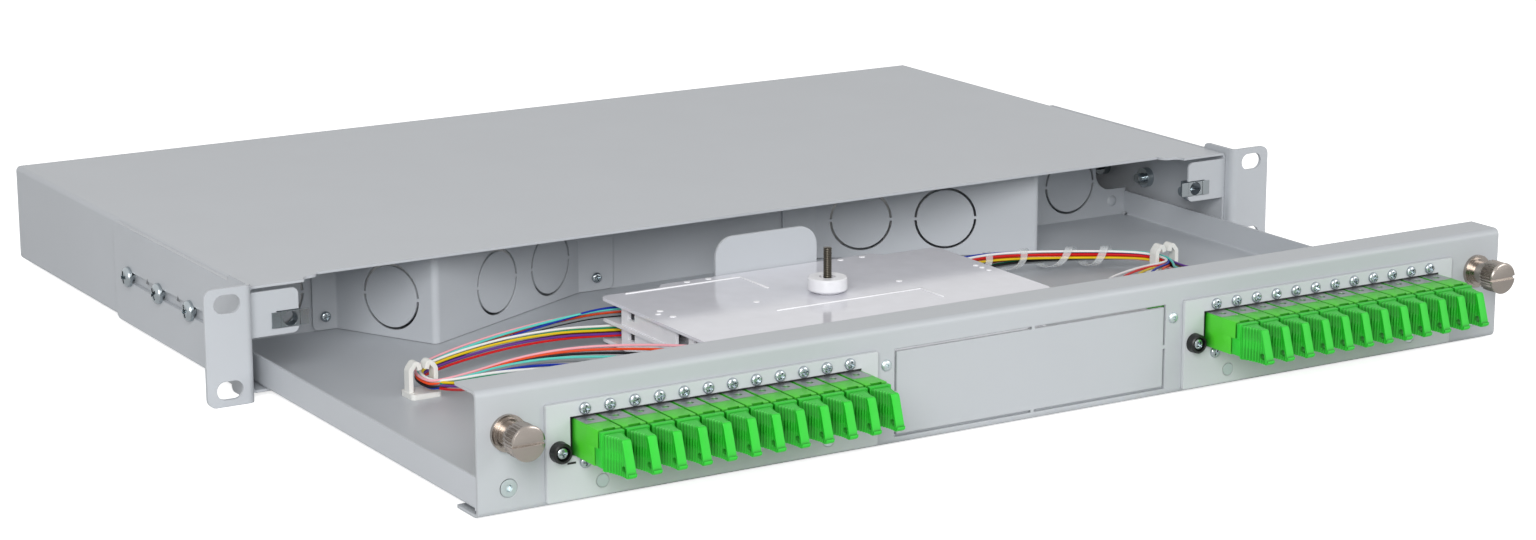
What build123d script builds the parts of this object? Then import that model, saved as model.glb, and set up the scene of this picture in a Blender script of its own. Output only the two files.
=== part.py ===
"""Rack-mount fibre splice box, one rack unit high, with its drawer pulled out."""

import os
from math import radians, tan

from build123d import *

os.makedirs("parts", exist_ok=True)

# All sizes are in millimetres. X runs to the right, Y to the rear and Z up. The origin
# lies on the front face of the rack ears, midway between the four rack slots.

# Rack ears
rack_hole_inset = 8.75
rack_hole_step = 31.75
rack_slot_length = 10.2
rack_slot_width = 6.8
ear_flange = 18.7
ear_height = 43.6
ear_sheet = 1.5
ear_bend_radius = 2.2
ear_corner_radius = 3.5
ear_tall_reach = 19.5
ear_arm_reach = 134.0
ear_arm_drop = 0.4
ear_arm_slot_height = 4.4
ear_travel = 15.0
ear_gap = 0.1

# Case
case_width = 445.0
case_height = 39.6
case_depth = 244.0
case_front = 5.0
case_sheet = 1.0
case_bend_radius = 2.0
recess_radius = 4.0
recess_margin = 22.0
tab_reach = 18.5
tab_height = 16.8
tab_lift = 0.6
tab_corner_radius = 2.5

# Screws and press nuts that hold the ears
ear_screw_first = 25.5
ear_screw_pitch = 31.0
ear_screw_count = 4
ear_screw_diameter = 4.0
ear_screw_head_diameter = 8.0
ear_screw_head_height = 2.6
ear_screw_head_round = 1.2
ear_screw_length = 9.0
press_nut_diameter = 8.5
press_nut_height = 3.0
thread_gap = 0.1

# Cage nuts for the thumbscrews
nut_window_width = 10.4
nut_window_height = 6.4
cage_nut_width = 7.4
cage_nut_height = 5.8
cage_nut_thickness = 4.0
cage_sheet = 0.5
cage_wing = 2.0
cage_gap = 0.1

# Drawer tray
drawer_side_gap = 5.0
drawer_depth = 233.0
drawer_out = 166.0
drawer_sheet = 1.0
drawer_bend_radius = 1.2
drawer_side_height = 11.3
drawer_running_gap = 0.1
rear_wall_top_gap = 1.3
rear_notch_width = 16.5
rear_notch_floor = 12.7
rear_notch_radius = 8.0
corner_flap_width = 14.0
corner_flap_gap = 0.2
corner_relief_radius = 1.5
front_lug_width = 20.0

# Cable entries in the rear wall
entry_sheet = 1.0
entry_bend_radius = 2.0
entry_outer_inset = 56.5
entry_short_run = 22.0
entry_setback = 42.5
entry_middle_gap = 80.0
entry_outer_flange = 10.0
entry_inner_flange = 16.0
entry_corner_radius = 2.5
entry_top_gap = 1.0
entry_window_margin = 2.5
entry_window_lift = 4.0
entry_window_drop = 4.2
knockout_diameter = 25.0
knockout_slit = 1.0
knockout_bridge = 1.2
knockout_height = 16.2
rear_knockout_inset = 30.5
short_wall_knockout = 20.5
long_wall_knockout = 38.6
long_wall_knockout_pitch = 35.4

# Rear wall screws and corner rivets
small_screw_diameter = 3.0
small_screw_head_diameter = 5.6
small_screw_head_height = 1.9
rear_screw_lift = 5.6
rear_rivet_lift = 6.3
rear_rivet_inset = 7.5
rivet_diameter = 3.2
rivet_head_diameter = 6.0
rivet_head_height = 0.9

# Front panel
panel_sheet = 1.2
panel_bend_radius = 1.8
panel_gap = 0.2
panel_flange = 15.0
blank_side_margin = 7.95
blank_top_margin = 8.95
blank_bottom_margin = 3.15
blank_slit = 0.9
blank_bridge = 1.4
panel_screw_inset = 11.2
panel_screw_z = -12.5
panel_screw_diameter = 4.0
panel_screw_head_diameter = 6.4
panel_screw_length = 6.0
panel_rivet_inset = 4.1
panel_rivet_z = 7.5

# Adapter plates
plate_end_margin = 24.2
plate_tail = 11.75
plate_height = 33.2
plate_middle_z = -3.2
plate_sheet = 1.5
plate_corner_radius = 0.8
cup_inset = 4.6
cup_z = -2.7
cup_diameter = 7.4
cup_height = 3.4
cup_wall = 1.0
cup_sides = 8
plate_stud_inset = 20.5
plate_stud_tail = 20.1
plate_stud_z = -14.9
plate_stud_diameter = 4.4
plate_stud_shank = 3.0
plate_stud_nut_width = 5.5
plate_stud_nut_height = 2.4

# Adapters
adapter_count = 12
adapter_pitch = 9.25
adapter_first = 14.1
adapter_z = 1.6
adapter_side_gap = 0.15
adapter_height = 12.5
adapter_front_reach = 16.5
adapter_rear_reach = 12.0
adapter_flange_height = 21.0
adapter_flange = 2.0
adapter_socket_width = 7.3
adapter_socket_height = 9.2
adapter_web = 2.0
adapter_gap = 0.15
adapter_screw_step = 18.0
adapter_screw_diameter = 2.0
adapter_screw_head_diameter = 4.2
adapter_screw_head_height = 1.3
clip_sheet = 0.4
clip_width = 7.6
clip_length = 8.0
clip_hole = 2.6

# Dust caps
cap_gap = 0.25
cap_plug_depth = 10.0
cap_collar_width = 8.5
cap_collar_height = 11.9
cap_collar = 5.5
cap_neck = 5.8
cap_neck_reach = 2.2
cap_fin = 4.4
cap_fin_taper = 5.0
cap_fin_top_reach = 10.0
cap_fin_tip_reach = 16.5
cap_fin_rise = 5.4
cap_fin_drop = 7.0
cap_tip_radius = 2.2
cap_top_radius = 1.2
cap_hole = 1.6
cap_hole_inset = 3.2
cap_groove_count = 6
cap_groove_pitch = 1.0
cap_groove_width = 0.5
cap_groove_depth = 0.35
cap_rim = 1.1

# Connectors behind the adapters
connector_width = 7.0
connector_height = 8.8
connector_inside = 8.0
connector_length = 20.0
boot_root = 4.6
boot_tip = 2.6
boot_length = 18.0

# Thumbscrews
thumb_inset = 11.0
thumb_z = 6.2
ferrule_flange_diameter = 12.4
ferrule_flange = 2.5
ferrule_rim = 1.4
ferrule_step_diameter = 10.4
ferrule_diameter = 8.2
ferrule_neck = 4.0
ferrule_bore = 7.0
ferrule_lip = 1.5
knob_diameter = 12.0
knob_length = 8.5
knob_disc = 3.2
knob_grip_diameter = 10.4
knob_standoff = 0.5
knob_bore = 8.8
knob_bore_depth = 6.0
knob_edge = 0.7
thumb_travel = 4.0
thumb_shank = 5.0
thumb_tip_reach = 6.8
thumb_slot_width = 1.4
thumb_slot_depth = 1.2
ring_diameter = 6.4
ring_thickness = 0.8
ring_groove_diameter = 3.8
ring_gap = 0.2
spring_diameter = 7.8
spring_wire = 0.8
running_gap = 0.3

# Splice cassettes
cassette_x = -8.9
cassette_setback = 120.6
cassette_width = 153.0
cassette_depth = 79.0
cassette_corner_radius = 3.0
cassette_pitch = 7.9
cassette_floor = 1.5
cassette_wall = 1.4
cassette_end_overhang = 9.0
cassette_side_overhang = 1.0
cassette_mouth = 18.0
cassette_window = 8.0
cassette_window_lift = 11.0
cassette_port = 6.0
cassette_port_lift = 2.5
cassette_hub_diameter = 10.0
comb_length = 36.0
comb_tooth = 4.0
comb_rib = 0.4
comb_rib_height = 3.6
sleeve_count = 12
sleeve_pitch = 2.55
sleeve_diameter = 2.0
sleeve_length = 44.0
sleeve_row_offset = 21.0
lid_sheet = 1.2
lid_tail_width = 102.0
lid_tail = 4.0
lid_tail_angle = 50.0
bracket_sheet = 1.2
bracket_width = 120.0
bracket_depth = 70.0
tongue_width = 46.0
tongue_height = 33.0
tongue_radius = 8.0
tongue_bend_radius = 1.6
stud_diameter = 3.4
stud_top = 18.0
stud_gap = 0.3
nut_diameter = 15.2
nut_height = 6.0
nut_edge = 0.5
nut_foot_diameter = 10.4
nut_foot = 0.9
nut_recess_diameter = 6.2
nut_recess = 1.4

# Fibre clips and pigtails
left_clip_inset = 43.0
left_clip_setback = 130.0
right_clip_inset = 55.5
right_clip_setback = 134.0
clip_base_width = 12.0
clip_base_length = 10.0
clip_base_height = 2.0
clip_base_corner = 1.5
clip_height = 14.5
clip_leg = 1.7
clip_leg_length = 4.0
clip_leg_spacing = 9.8
clip_crown_spacing = 4.4
clip_mouth = 2.7
clip_prong = 3.6
clip_crown_radius = 1.0
clip_shoulder_radius = 2.0
trunk_diameter = 4.4
trunk_lift = 0.3
fibre_diameter = 0.9
fibre_lane_pitch = 1.05
fibre_lanes_across = 4
fibre_straight = 12.0

# Places worked out from the sizes above
case_half = case_width / 2
ear_span = case_width + 2 * (ear_gap + ear_flange)
rack_hole_pitch = ear_span - 2 * rack_hole_inset
case_wall_inner = case_half - case_sheet
case_top = case_height / 2
case_floor_top = -case_top + case_sheet
recess_half = case_half - recess_margin
ear_arm_x = case_half + ear_gap + ear_sheet / 2
ear_seat_x = case_half + ear_gap + ear_sheet + ear_gap
ear_screw_places = [ear_screw_first + ear_screw_pitch * i for i in range(ear_screw_count)]

panel_front = -drawer_out
panel_back = panel_front + panel_sheet
panel_half_height = case_top + panel_gap + panel_sheet
drawer_width = case_width - 2 * drawer_side_gap
drawer_half = drawer_width / 2
drawer_floor_bottom = case_floor_top + drawer_running_gap
drawer_floor_top = drawer_floor_bottom + drawer_sheet
drawer_rear_inner = panel_front + drawer_depth
drawer_rear_outer = drawer_rear_inner + drawer_sheet
rear_wall_height = case_top - case_sheet - rear_wall_top_gap - drawer_floor_bottom
rear_knockout_x = drawer_half - rear_knockout_inset
entry_outer_x = drawer_half - entry_outer_inset
entry_corner_x = entry_outer_x - entry_short_run
entry_inner_x = entry_middle_gap / 2 + entry_inner_flange
entry_bottom = drawer_floor_top + corner_flap_gap
entry_top = drawer_floor_bottom + rear_wall_height - entry_top_gap
entry_window_bottom = drawer_floor_top + entry_window_lift
entry_window_top = drawer_floor_bottom + rear_wall_height - entry_window_drop
knockout_z = drawer_floor_top + knockout_height
thumb_x = drawer_half - thumb_inset
panel_screw_x = drawer_half - panel_screw_inset
plate_width = adapter_first + adapter_pitch * (adapter_count - 1) + plate_tail
plate_inner_x = drawer_half - plate_end_margin - plate_width
plate_stud_insets = (plate_stud_inset, plate_width - plate_stud_tail)
panel_rivet_x = plate_inner_x - panel_rivet_inset
blank_width = 2 * (plate_inner_x - blank_side_margin)
blank_height = 2 * panel_half_height - blank_top_margin - blank_bottom_margin
blank_middle_z = (blank_bottom_margin - blank_top_margin) / 2
adapter_width = adapter_pitch - adapter_side_gap
plate_front = panel_front - plate_sheet
plate_lefts = (-plate_inner_x - plate_width, plate_inner_x)
adapter_places = [
    left + adapter_first + adapter_pitch * i for left in plate_lefts for i in range(adapter_count)
]
adapter_row_width = adapter_pitch * adapter_count
adapter_front = plate_front - adapter_front_reach
adapter_rear = panel_front + adapter_flange + adapter_rear_reach
adapter_web_front = panel_front
knob_back = panel_front - ferrule_flange - knob_standoff - thumb_travel
knob_front = knob_back - knob_length
thumb_tip = panel_back + thumb_tip_reach
ferrule_front = panel_front - ferrule_flange - ferrule_neck
ring_front = ferrule_front + ferrule_lip
cassette_y = panel_front + cassette_setback
left_clip_place = (-drawer_half + left_clip_inset, panel_front + left_clip_setback)
right_clip_place = (drawer_half - right_clip_inset, panel_front + right_clip_setback)
bracket_top = drawer_floor_top + bracket_sheet
cassette_floors = (bracket_top, bracket_top + cassette_pitch)
lid_bottom = bracket_top + 2 * cassette_pitch
lid_top = lid_bottom + lid_sheet


def plane_y(y):
    """A plane square to Y that faces the front, with X across and Z up."""
    return Plane(origin=(0, y, 0), x_dir=(1, 0, 0), z_dir=(0, -1, 0))


def plane_x(x, facing=1):
    """A plane square to X. Facing right it has Y across and Z up."""
    return Plane(origin=(x, 0, 0), x_dir=(0, facing, 0), z_dir=(facing, 0, 0))


def slab(x_span, y_span, z_span, mode=Mode.ADD):
    """A block between the two ends of each span."""
    spans = (x_span, y_span, z_span)
    middle = tuple(sum(span) / 2 for span in spans)
    lengths = tuple(abs(span[1] - span[0]) for span in spans)
    with Locations(middle):
        Box(*lengths, mode=mode)


def save(builder, name):
    """Label a finished sub-part and write it."""
    builder.part.label = name
    export_step(builder.part, f"parts/{name}.step")


def knockout(plane, depth):
    """Two slits that leave a round knock-out on two small bridges."""
    with BuildSketch(plane) as slits:
        Circle((knockout_diameter + knockout_slit) / 2)
        Circle((knockout_diameter - knockout_slit) / 2, mode=Mode.SUBTRACT)
        Rectangle(2 * knockout_diameter, knockout_bridge, mode=Mode.SUBTRACT)
    extrude(slits.sketch, amount=depth, both=True, mode=Mode.SUBTRACT)


def route_radii(points):
    """As large an arc at each corner as its two runs allow."""
    vectors = [Vector(*point) for point in points]
    runs = [b - a for a, b in zip(vectors, vectors[1:])]
    radii = []
    for run, following in zip(runs, runs[1:]):
        turn = radians(run.get_angle(following))
        radii.append(0.45 * min(run.length, following.length) / tan(turn / 2))
    return radii


def tube(points, diameter):
    """A round tube along straight runs and tangent arcs."""
    with BuildLine() as route:
        FilletPolyline(*points, radius=route_radii(points))
    with BuildSketch(Plane(origin=route.line @ 0, z_dir=route.line % 0)) as section:
        Circle(diameter / 2)
    sweep(section.sketch, path=route.line)


# Case: one sheet wrapped into a sleeve, open at the front and the rear
with BuildPart() as case_shell:
    with BuildSketch(plane_y(case_front)):
        RectangleRounded(case_width, case_height, case_bend_radius)
        RectangleRounded(
            case_width - 2 * case_sheet,
            case_height - 2 * case_sheet,
            case_bend_radius - case_sheet,
            mode=Mode.SUBTRACT,
        )
    extrude(amount=-case_depth)
    # The front edge of the top stands back between two S-shaped ends
    with BuildSketch(Plane.XY.offset(case_top)):
        with BuildLine():
            step = 2 * recess_radius
            for side in (-1, 1):
                start = (side * recess_half, case_front)
                middle = (side * (recess_half - recess_radius), case_front + recess_radius)
                end = (side * (recess_half - step), case_front + step)
                RadiusArc(start, middle, -side * recess_radius)
                RadiusArc(middle, end, side * recess_radius)
            Line((-recess_half + step, case_front + step), (recess_half - step, case_front + step))
            Line((-recess_half, case_front), (recess_half, case_front))
        make_face()
    extrude(amount=case_sheet, both=True, mode=Mode.SUBTRACT)
    # Tabs folded in from the side walls take the cage nuts
    for side in (-1, 1):
        with BuildSketch(plane_y(case_front)) as tab:
            with Locations((side * (case_half - case_sheet / 2), tab_lift)):
                Rectangle(
                    tab_reach + case_sheet / 2,
                    tab_height,
                    align=(Align.MAX if side > 0 else Align.MIN, Align.MIN),
                )
            inner_corners = tab.vertices().group_by(Axis.X)[0 if side > 0 else -1]
            fillet(inner_corners, tab_corner_radius)
            with Locations((side * thumb_x, thumb_z)):
                Rectangle(nut_window_width, nut_window_height, mode=Mode.SUBTRACT)
        extrude(amount=-case_sheet)
    with BuildSketch(plane_x(0)):
        with Locations(*[(y, 0) for y in ear_screw_places]):
            Circle(ear_screw_diameter / 2 + thread_gap)
    extrude(amount=case_half + case_sheet, both=True, mode=Mode.SUBTRACT)
save(case_shell, "case_shell")

# Cage nuts: a square nut in a spring cage whose wings grip the tab
with BuildPart() as cage_nuts:
    nut_front = case_front - cage_sheet
    for side in (-1, 1):
        x = side * thumb_x
        half_nut = cage_nut_width / 2
        half_window = nut_window_width / 2
        with BuildSketch(plane_y(nut_front)):
            with Locations((x, thumb_z)):
                Rectangle(cage_nut_width, cage_nut_height)
                Circle(thumb_shank / 2 + running_gap, mode=Mode.SUBTRACT)
        extrude(amount=-cage_nut_thickness)
        leg_x = half_nut + cage_gap + cage_sheet / 2
        wing_y = case_front - cage_gap - cage_sheet / 2
        strap_y = nut_front + cage_nut_thickness + cage_gap + cage_sheet / 2
        with BuildSketch(Plane.XY.offset(thumb_z - cage_nut_height / 2)):
            with BuildLine():
                Polyline(
                    (x - half_window - cage_wing, wing_y),
                    (x - leg_x, wing_y),
                    (x - leg_x, strap_y),
                    (x + leg_x, strap_y),
                    (x + leg_x, wing_y),
                    (x + half_window + cage_wing, wing_y),
                )
            trace(line_width=cage_sheet)
        extrude(amount=cage_nut_height)
        with BuildSketch(plane_y(strap_y)):
            with Locations((x, thumb_z)):
                Circle(thumb_shank / 2 + running_gap)
        extrude(amount=cage_sheet, both=True, mode=Mode.SUBTRACT)
save(cage_nuts, "cage_nuts")

# Pan-head screws through the ear slots, and the press nuts in the case walls
with BuildPart() as ear_screws:
    for side in (-1, 1):
        for y in ear_screw_places:
            seat = Plane(origin=(side * ear_seat_x, y, 0), z_dir=(side, 0, 0))
            with BuildSketch(seat):
                Circle(ear_screw_head_diameter / 2)
            extrude(amount=ear_screw_head_height)
            with BuildSketch(seat):
                Circle(ear_screw_diameter / 2)
            extrude(amount=-ear_screw_length)
    rims = ear_screws.edges().filter_by(GeomType.CIRCLE)
    outer_x = ear_seat_x + ear_screw_head_height
    fillet(rims.filter_by(lambda e: abs(abs(e.center().X) - outer_x) < thread_gap), ear_screw_head_round)
save(ear_screws, "ear_screws")

with BuildPart() as ear_nuts:
    for side in (-1, 1):
        for y in ear_screw_places:
            with BuildSketch(Plane(origin=(side * case_wall_inner, y, 0), z_dir=(-side, 0, 0))):
                Circle(press_nut_diameter / 2)
                Circle(ear_screw_diameter / 2 + thread_gap, mode=Mode.SUBTRACT)
            extrude(amount=press_nut_height)
save(ear_nuts, "ear_nuts")

# Rack ears: a bent angle whose arm lies along the case wall
for side, name in ((-1, "left_ear"), (1, "right_ear")):
    with BuildPart() as ear:
        with BuildSketch(Plane.XY.offset(-ear_height / 2)):
            with BuildLine():
                FilletPolyline(
                    (side * ear_arm_x, ear_arm_reach),
                    (side * ear_arm_x, ear_sheet / 2),
                    (side * ear_span / 2, ear_sheet / 2),
                    radius=ear_bend_radius,
                )
            trace(line_width=ear_sheet)
        extrude(amount=ear_height)
        # Behind its tall front the arm is no higher than the case
        arm_height = case_height - 2 * ear_arm_drop
        with BuildSketch(plane_x(0)):
            with Locations((ear_tall_reach, 0)):
                Rectangle(ear_arm_reach, 2 * ear_height, align=(Align.MIN, Align.CENTER))
                Rectangle(ear_arm_reach, arm_height, align=(Align.MIN, Align.CENTER), mode=Mode.SUBTRACT)
        extrude(amount=ear_span, both=True, mode=Mode.SUBTRACT)
        across = ear.edges().filter_by(Axis.X)
        high = across.filter_by(lambda e: abs(e.center().Z) > arm_height / 2 + thread_gap)
        tall_corners = high.filter_by(lambda e: abs(e.center().Y - ear_tall_reach) < thread_gap)
        fillet(tall_corners, (ear_height - arm_height) / 2 - thread_gap)
        rear_corners = ear.edges().filter_by(Axis.X).group_by(Axis.Y)[-1]
        fillet(rear_corners, ear_corner_radius)
        flange_edges = ear.edges().filter_by(Axis.Y)
        flange_corners = flange_edges.group_by(Axis.X)[-1 if side > 0 else 0]
        fillet(flange_corners, ear_corner_radius)
        with BuildSketch(plane_y(0)):
            with Locations(*[(side * rack_hole_pitch / 2, z * rack_hole_step / 2) for z in (-1, 1)]):
                SlotOverall(rack_slot_length, rack_slot_width)
        extrude(amount=2 * ear_sheet, both=True, mode=Mode.SUBTRACT)
        slot_front = ear_screw_places[0] - ear_travel - ear_arm_slot_height / 2
        slot_rear = ear_screw_places[-1] + ear_arm_slot_height / 2
        with BuildSketch(plane_x(side * ear_arm_x)):
            with Locations(((slot_front + slot_rear) / 2, 0)):
                SlotOverall(slot_rear - slot_front, ear_arm_slot_height)
        extrude(amount=ear_sheet, both=True, mode=Mode.SUBTRACT)
    save(ear, name)

# Drawer tray: floor and low sides from one bent sheet, with a high rear wall
with BuildPart() as drawer_tray:
    side_x = drawer_half - drawer_sheet / 2
    side_top = drawer_floor_bottom + drawer_side_height
    floor_z = drawer_floor_bottom + drawer_sheet / 2
    with BuildSketch(plane_y(panel_back)):
        with BuildLine():
            FilletPolyline(
                (-side_x, side_top),
                (-side_x, floor_z),
                (side_x, floor_z),
                (side_x, side_top),
                radius=drawer_bend_radius,
            )
        trace(line_width=drawer_sheet)
    extrude(amount=-(drawer_rear_outer - panel_back))
    with BuildSketch(plane_y(drawer_rear_inner)) as rear_wall:
        with Locations((0, drawer_floor_bottom)):
            Rectangle(drawer_width, rear_wall_height, align=(Align.CENTER, Align.MIN))
        # Both upper corners are cut away to pass the tabs of the case
        notch_bottom = drawer_floor_bottom + rear_notch_floor
        for side in (-1, 1):
            with Locations((side * (drawer_half - rear_notch_width / 2), notch_bottom)):
                Rectangle(
                    rear_notch_width,
                    rear_wall_height,
                    align=(Align.CENTER, Align.MIN),
                    mode=Mode.SUBTRACT,
                )
        notch_x = drawer_half - rear_notch_width
        corners = rear_wall.vertices().filter_by(lambda v: abs(abs(v.X) - notch_x) < thread_gap)
        fillet(corners.group_by(Axis.Y)[0], rear_notch_radius)
        window_inner = entry_inner_x + entry_window_margin
        window_outer = entry_outer_x - entry_window_margin
        for side in (-1, 1):
            with Locations((side * (window_inner + window_outer) / 2, entry_window_bottom)):
                Rectangle(
                    window_outer - window_inner,
                    entry_window_top - entry_window_bottom,
                    align=(Align.CENTER, Align.MIN),
                    mode=Mode.SUBTRACT,
                )
    extrude(amount=-drawer_sheet)
    for side in (-1, 1):
        middle = (side * rear_knockout_x, drawer_rear_inner, knockout_z)
        knockout(Plane(origin=middle, x_dir=(1, 0, 0), z_dir=(0, -1, 0)), 2 * drawer_sheet)
        # A flap at the end of each side folds round behind the rear wall
        flap_front = drawer_rear_outer + corner_flap_gap
        flap_rear = flap_front + drawer_sheet
        flap_bottom = drawer_floor_top + corner_flap_gap
        flap_height = (flap_bottom, side_top)
        flap_root = drawer_half - drawer_sheet
        flap_end = drawer_half - corner_flap_width
        slab((side * flap_root, side * drawer_half), (drawer_rear_outer, flap_rear), flap_height)
        slab((side * flap_end, side * drawer_half), (flap_front, flap_rear), flap_height)
        # A lug at the front of each side carries the front panel
        slab(
            (side * (drawer_half - front_lug_width), side * drawer_half),
            (panel_back, panel_back + drawer_sheet),
            (drawer_floor_bottom, side_top),
        )
        with BuildSketch(plane_y(panel_back)):
            with Locations((side * panel_screw_x, panel_screw_z)):
                Circle(panel_screw_diameter / 2 + thread_gap)
        extrude(amount=2 * drawer_sheet, both=True, mode=Mode.SUBTRACT)
        with BuildSketch(plane_y(drawer_rear_inner)):
            with Locations((side * (drawer_half - rear_rivet_inset), drawer_floor_top + rear_rivet_lift)):
                Circle(rivet_diameter / 2 + thread_gap)
            screw_z = drawer_floor_top + rear_screw_lift
            with Locations((side * (entry_outer_x + entry_outer_flange / 2), screw_z)):
                Circle(small_screw_diameter / 2 + thread_gap)
            with Locations((side * (entry_inner_x - entry_inner_flange / 2), screw_z)):
                Circle(small_screw_diameter / 2 + thread_gap)
        extrude(amount=4 * drawer_sheet, both=True, mode=Mode.SUBTRACT)
        relief = drawer_half - corner_relief_radius
        with BuildSketch(Plane.XY.offset(drawer_floor_bottom)):
            with Locations((side * relief, drawer_rear_inner - corner_relief_radius)):
                Circle(corner_relief_radius)
        extrude(amount=2 * drawer_sheet, both=True, mode=Mode.SUBTRACT)
save(drawer_tray, "drawer_tray")

# Cable entries: a bent sheet that sets a V-shaped recess into the rear wall
with BuildPart() as cable_entries:
    flange_y = drawer_rear_inner - entry_sheet / 2
    corner_y = drawer_rear_inner - entry_setback
    for side in (-1, 1):
        outline = [
            (side * (entry_outer_x + entry_outer_flange), flange_y),
            (side * entry_outer_x, flange_y),
            (side * entry_corner_x, corner_y),
            (side * entry_inner_x, flange_y),
            (side * (entry_inner_x - entry_inner_flange), flange_y),
        ]
        with BuildSketch(Plane.XY.offset(entry_bottom)):
            with BuildLine():
                FilletPolyline(*outline, radius=entry_bend_radius)
            trace(line_width=entry_sheet)
        extrude(amount=entry_top - entry_bottom)
        sheet_ends = cable_entries.edges().filter_by(Axis.Y).filter_by(lambda e: e.center().X * side > 0)
        for flange_end in (0, -1):
            low_corner = sheet_ends.group_by(Axis.X)[flange_end].group_by(Axis.Z)[0]
            fillet(low_corner, entry_corner_radius)
        corner = Vector(*outline[2], knockout_z)
        walls = ((outline[1], short_wall_knockout), (outline[3], long_wall_knockout))
        for wall_end, first in walls:
            wall = Vector(*wall_end, knockout_z) - corner
            along = wall.normalized()
            facing = along.cross(Vector(0, 0, 1))
            spare = wall.length - first - knockout_diameter / 2
            for i in range(1 + max(0, int(spare / long_wall_knockout_pitch))):
                place = corner + along * (first + i * long_wall_knockout_pitch)
                knockout(Plane(origin=place, x_dir=along, z_dir=facing), 2 * entry_sheet)
        with BuildSketch(plane_y(drawer_rear_inner)):
            with Locations(
                (side * (entry_outer_x + entry_outer_flange / 2), drawer_floor_top + rear_screw_lift),
                (side * (entry_inner_x - entry_inner_flange / 2), drawer_floor_top + rear_screw_lift),
            ):
                Circle(small_screw_diameter / 2 + thread_gap)
        extrude(amount=2 * entry_sheet, both=True, mode=Mode.SUBTRACT)
save(cable_entries, "cable_entries")

# Screws of the cable entries and rivets of the folded corners
with BuildPart() as rear_fasteners:
    for side in (-1, 1):
        screw_z = drawer_floor_top + rear_screw_lift
        screw_seat = drawer_rear_inner - entry_sheet
        for x in (entry_outer_x + entry_outer_flange / 2, entry_inner_x - entry_inner_flange / 2):
            with BuildSketch(plane_y(screw_seat)):
                with Locations((side * x, screw_z)):
                    Circle(small_screw_head_diameter / 2)
            extrude(amount=small_screw_head_height)
            with BuildSketch(plane_y(screw_seat)):
                with Locations((side * x, screw_z)):
                    Circle(small_screw_diameter / 2)
            extrude(amount=-(entry_sheet + 2 * drawer_sheet))
        rivet_place = (side * (drawer_half - rear_rivet_inset), drawer_floor_top + rear_rivet_lift)
        rivet_rear = drawer_rear_outer + corner_flap_gap + drawer_sheet
        with BuildSketch(plane_y(drawer_rear_inner)):
            with Locations(rivet_place):
                Circle(rivet_head_diameter / 2)
        extrude(amount=rivet_head_height)
        with BuildSketch(plane_y(drawer_rear_inner)):
            with Locations(rivet_place):
                Circle(rivet_diameter / 2)
        extrude(amount=-(rivet_rear - drawer_rear_inner))
        with BuildSketch(plane_y(rivet_rear)):
            with Locations(rivet_place):
                Circle(rivet_head_diameter / 2)
        extrude(amount=-rivet_head_height)
save(rear_fasteners, "rear_fasteners")

# Front panel: a channel whose flanges run over and under the case when it is shut
with BuildPart() as front_panel:
    flange_z = panel_half_height - panel_sheet / 2
    web_y = panel_front + panel_sheet / 2
    with BuildSketch(plane_x(-drawer_half)):
        with BuildLine():
            FilletPolyline(
                (panel_front + panel_flange, flange_z),
                (web_y, flange_z),
                (web_y, -flange_z),
                (panel_front + panel_flange, -flange_z),
                radius=panel_bend_radius,
            )
        trace(line_width=panel_sheet)
    extrude(amount=drawer_width)
    with BuildSketch(plane_y(panel_front)):
        for left in plate_lefts:
            row_middle = left + adapter_first + adapter_pitch * (adapter_count - 1) / 2
            with Locations((row_middle, adapter_z)):
                Rectangle(adapter_row_width + 4 * adapter_gap, adapter_flange_height + 4 * adapter_gap)
            with Locations(*[(left + inset, plate_stud_z) for inset in plate_stud_insets]):
                Circle(plate_stud_shank / 2 + thread_gap)
            with Locations((left + cup_inset, cup_z)):
                Circle(small_screw_diameter / 2 + thread_gap)
        with Locations(*[(side * thumb_x, thumb_z) for side in (-1, 1)]):
            Circle(ferrule_diameter / 2 + thread_gap)
        with Locations(*[(side * panel_rivet_x, panel_rivet_z) for side in (-1, 1)]):
            Circle(rivet_diameter / 2 + thread_gap)
        # A rectangular blank for a third adapter plate hangs on four bridges
        with Locations((0, blank_middle_z)):
            Rectangle(blank_width + blank_slit, blank_height + blank_slit)
            Rectangle(blank_width - blank_slit, blank_height - blank_slit, mode=Mode.SUBTRACT)
            Rectangle(blank_width + 2 * blank_slit, blank_bridge, mode=Mode.SUBTRACT)
            Rectangle(blank_bridge, blank_height + 2 * blank_slit, mode=Mode.SUBTRACT)
    extrude(amount=2 * panel_sheet, both=True, mode=Mode.SUBTRACT)
    with Locations(plane_y(panel_front)):
        with Locations(*[(side * panel_screw_x, panel_screw_z) for side in (-1, 1)]):
            CounterSinkHole(
                radius=panel_screw_diameter / 2 + thread_gap,
                counter_sink_radius=panel_screw_head_diameter / 2 + thread_gap,
                depth=2 * panel_sheet,
            )
save(front_panel, "front_panel")

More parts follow.
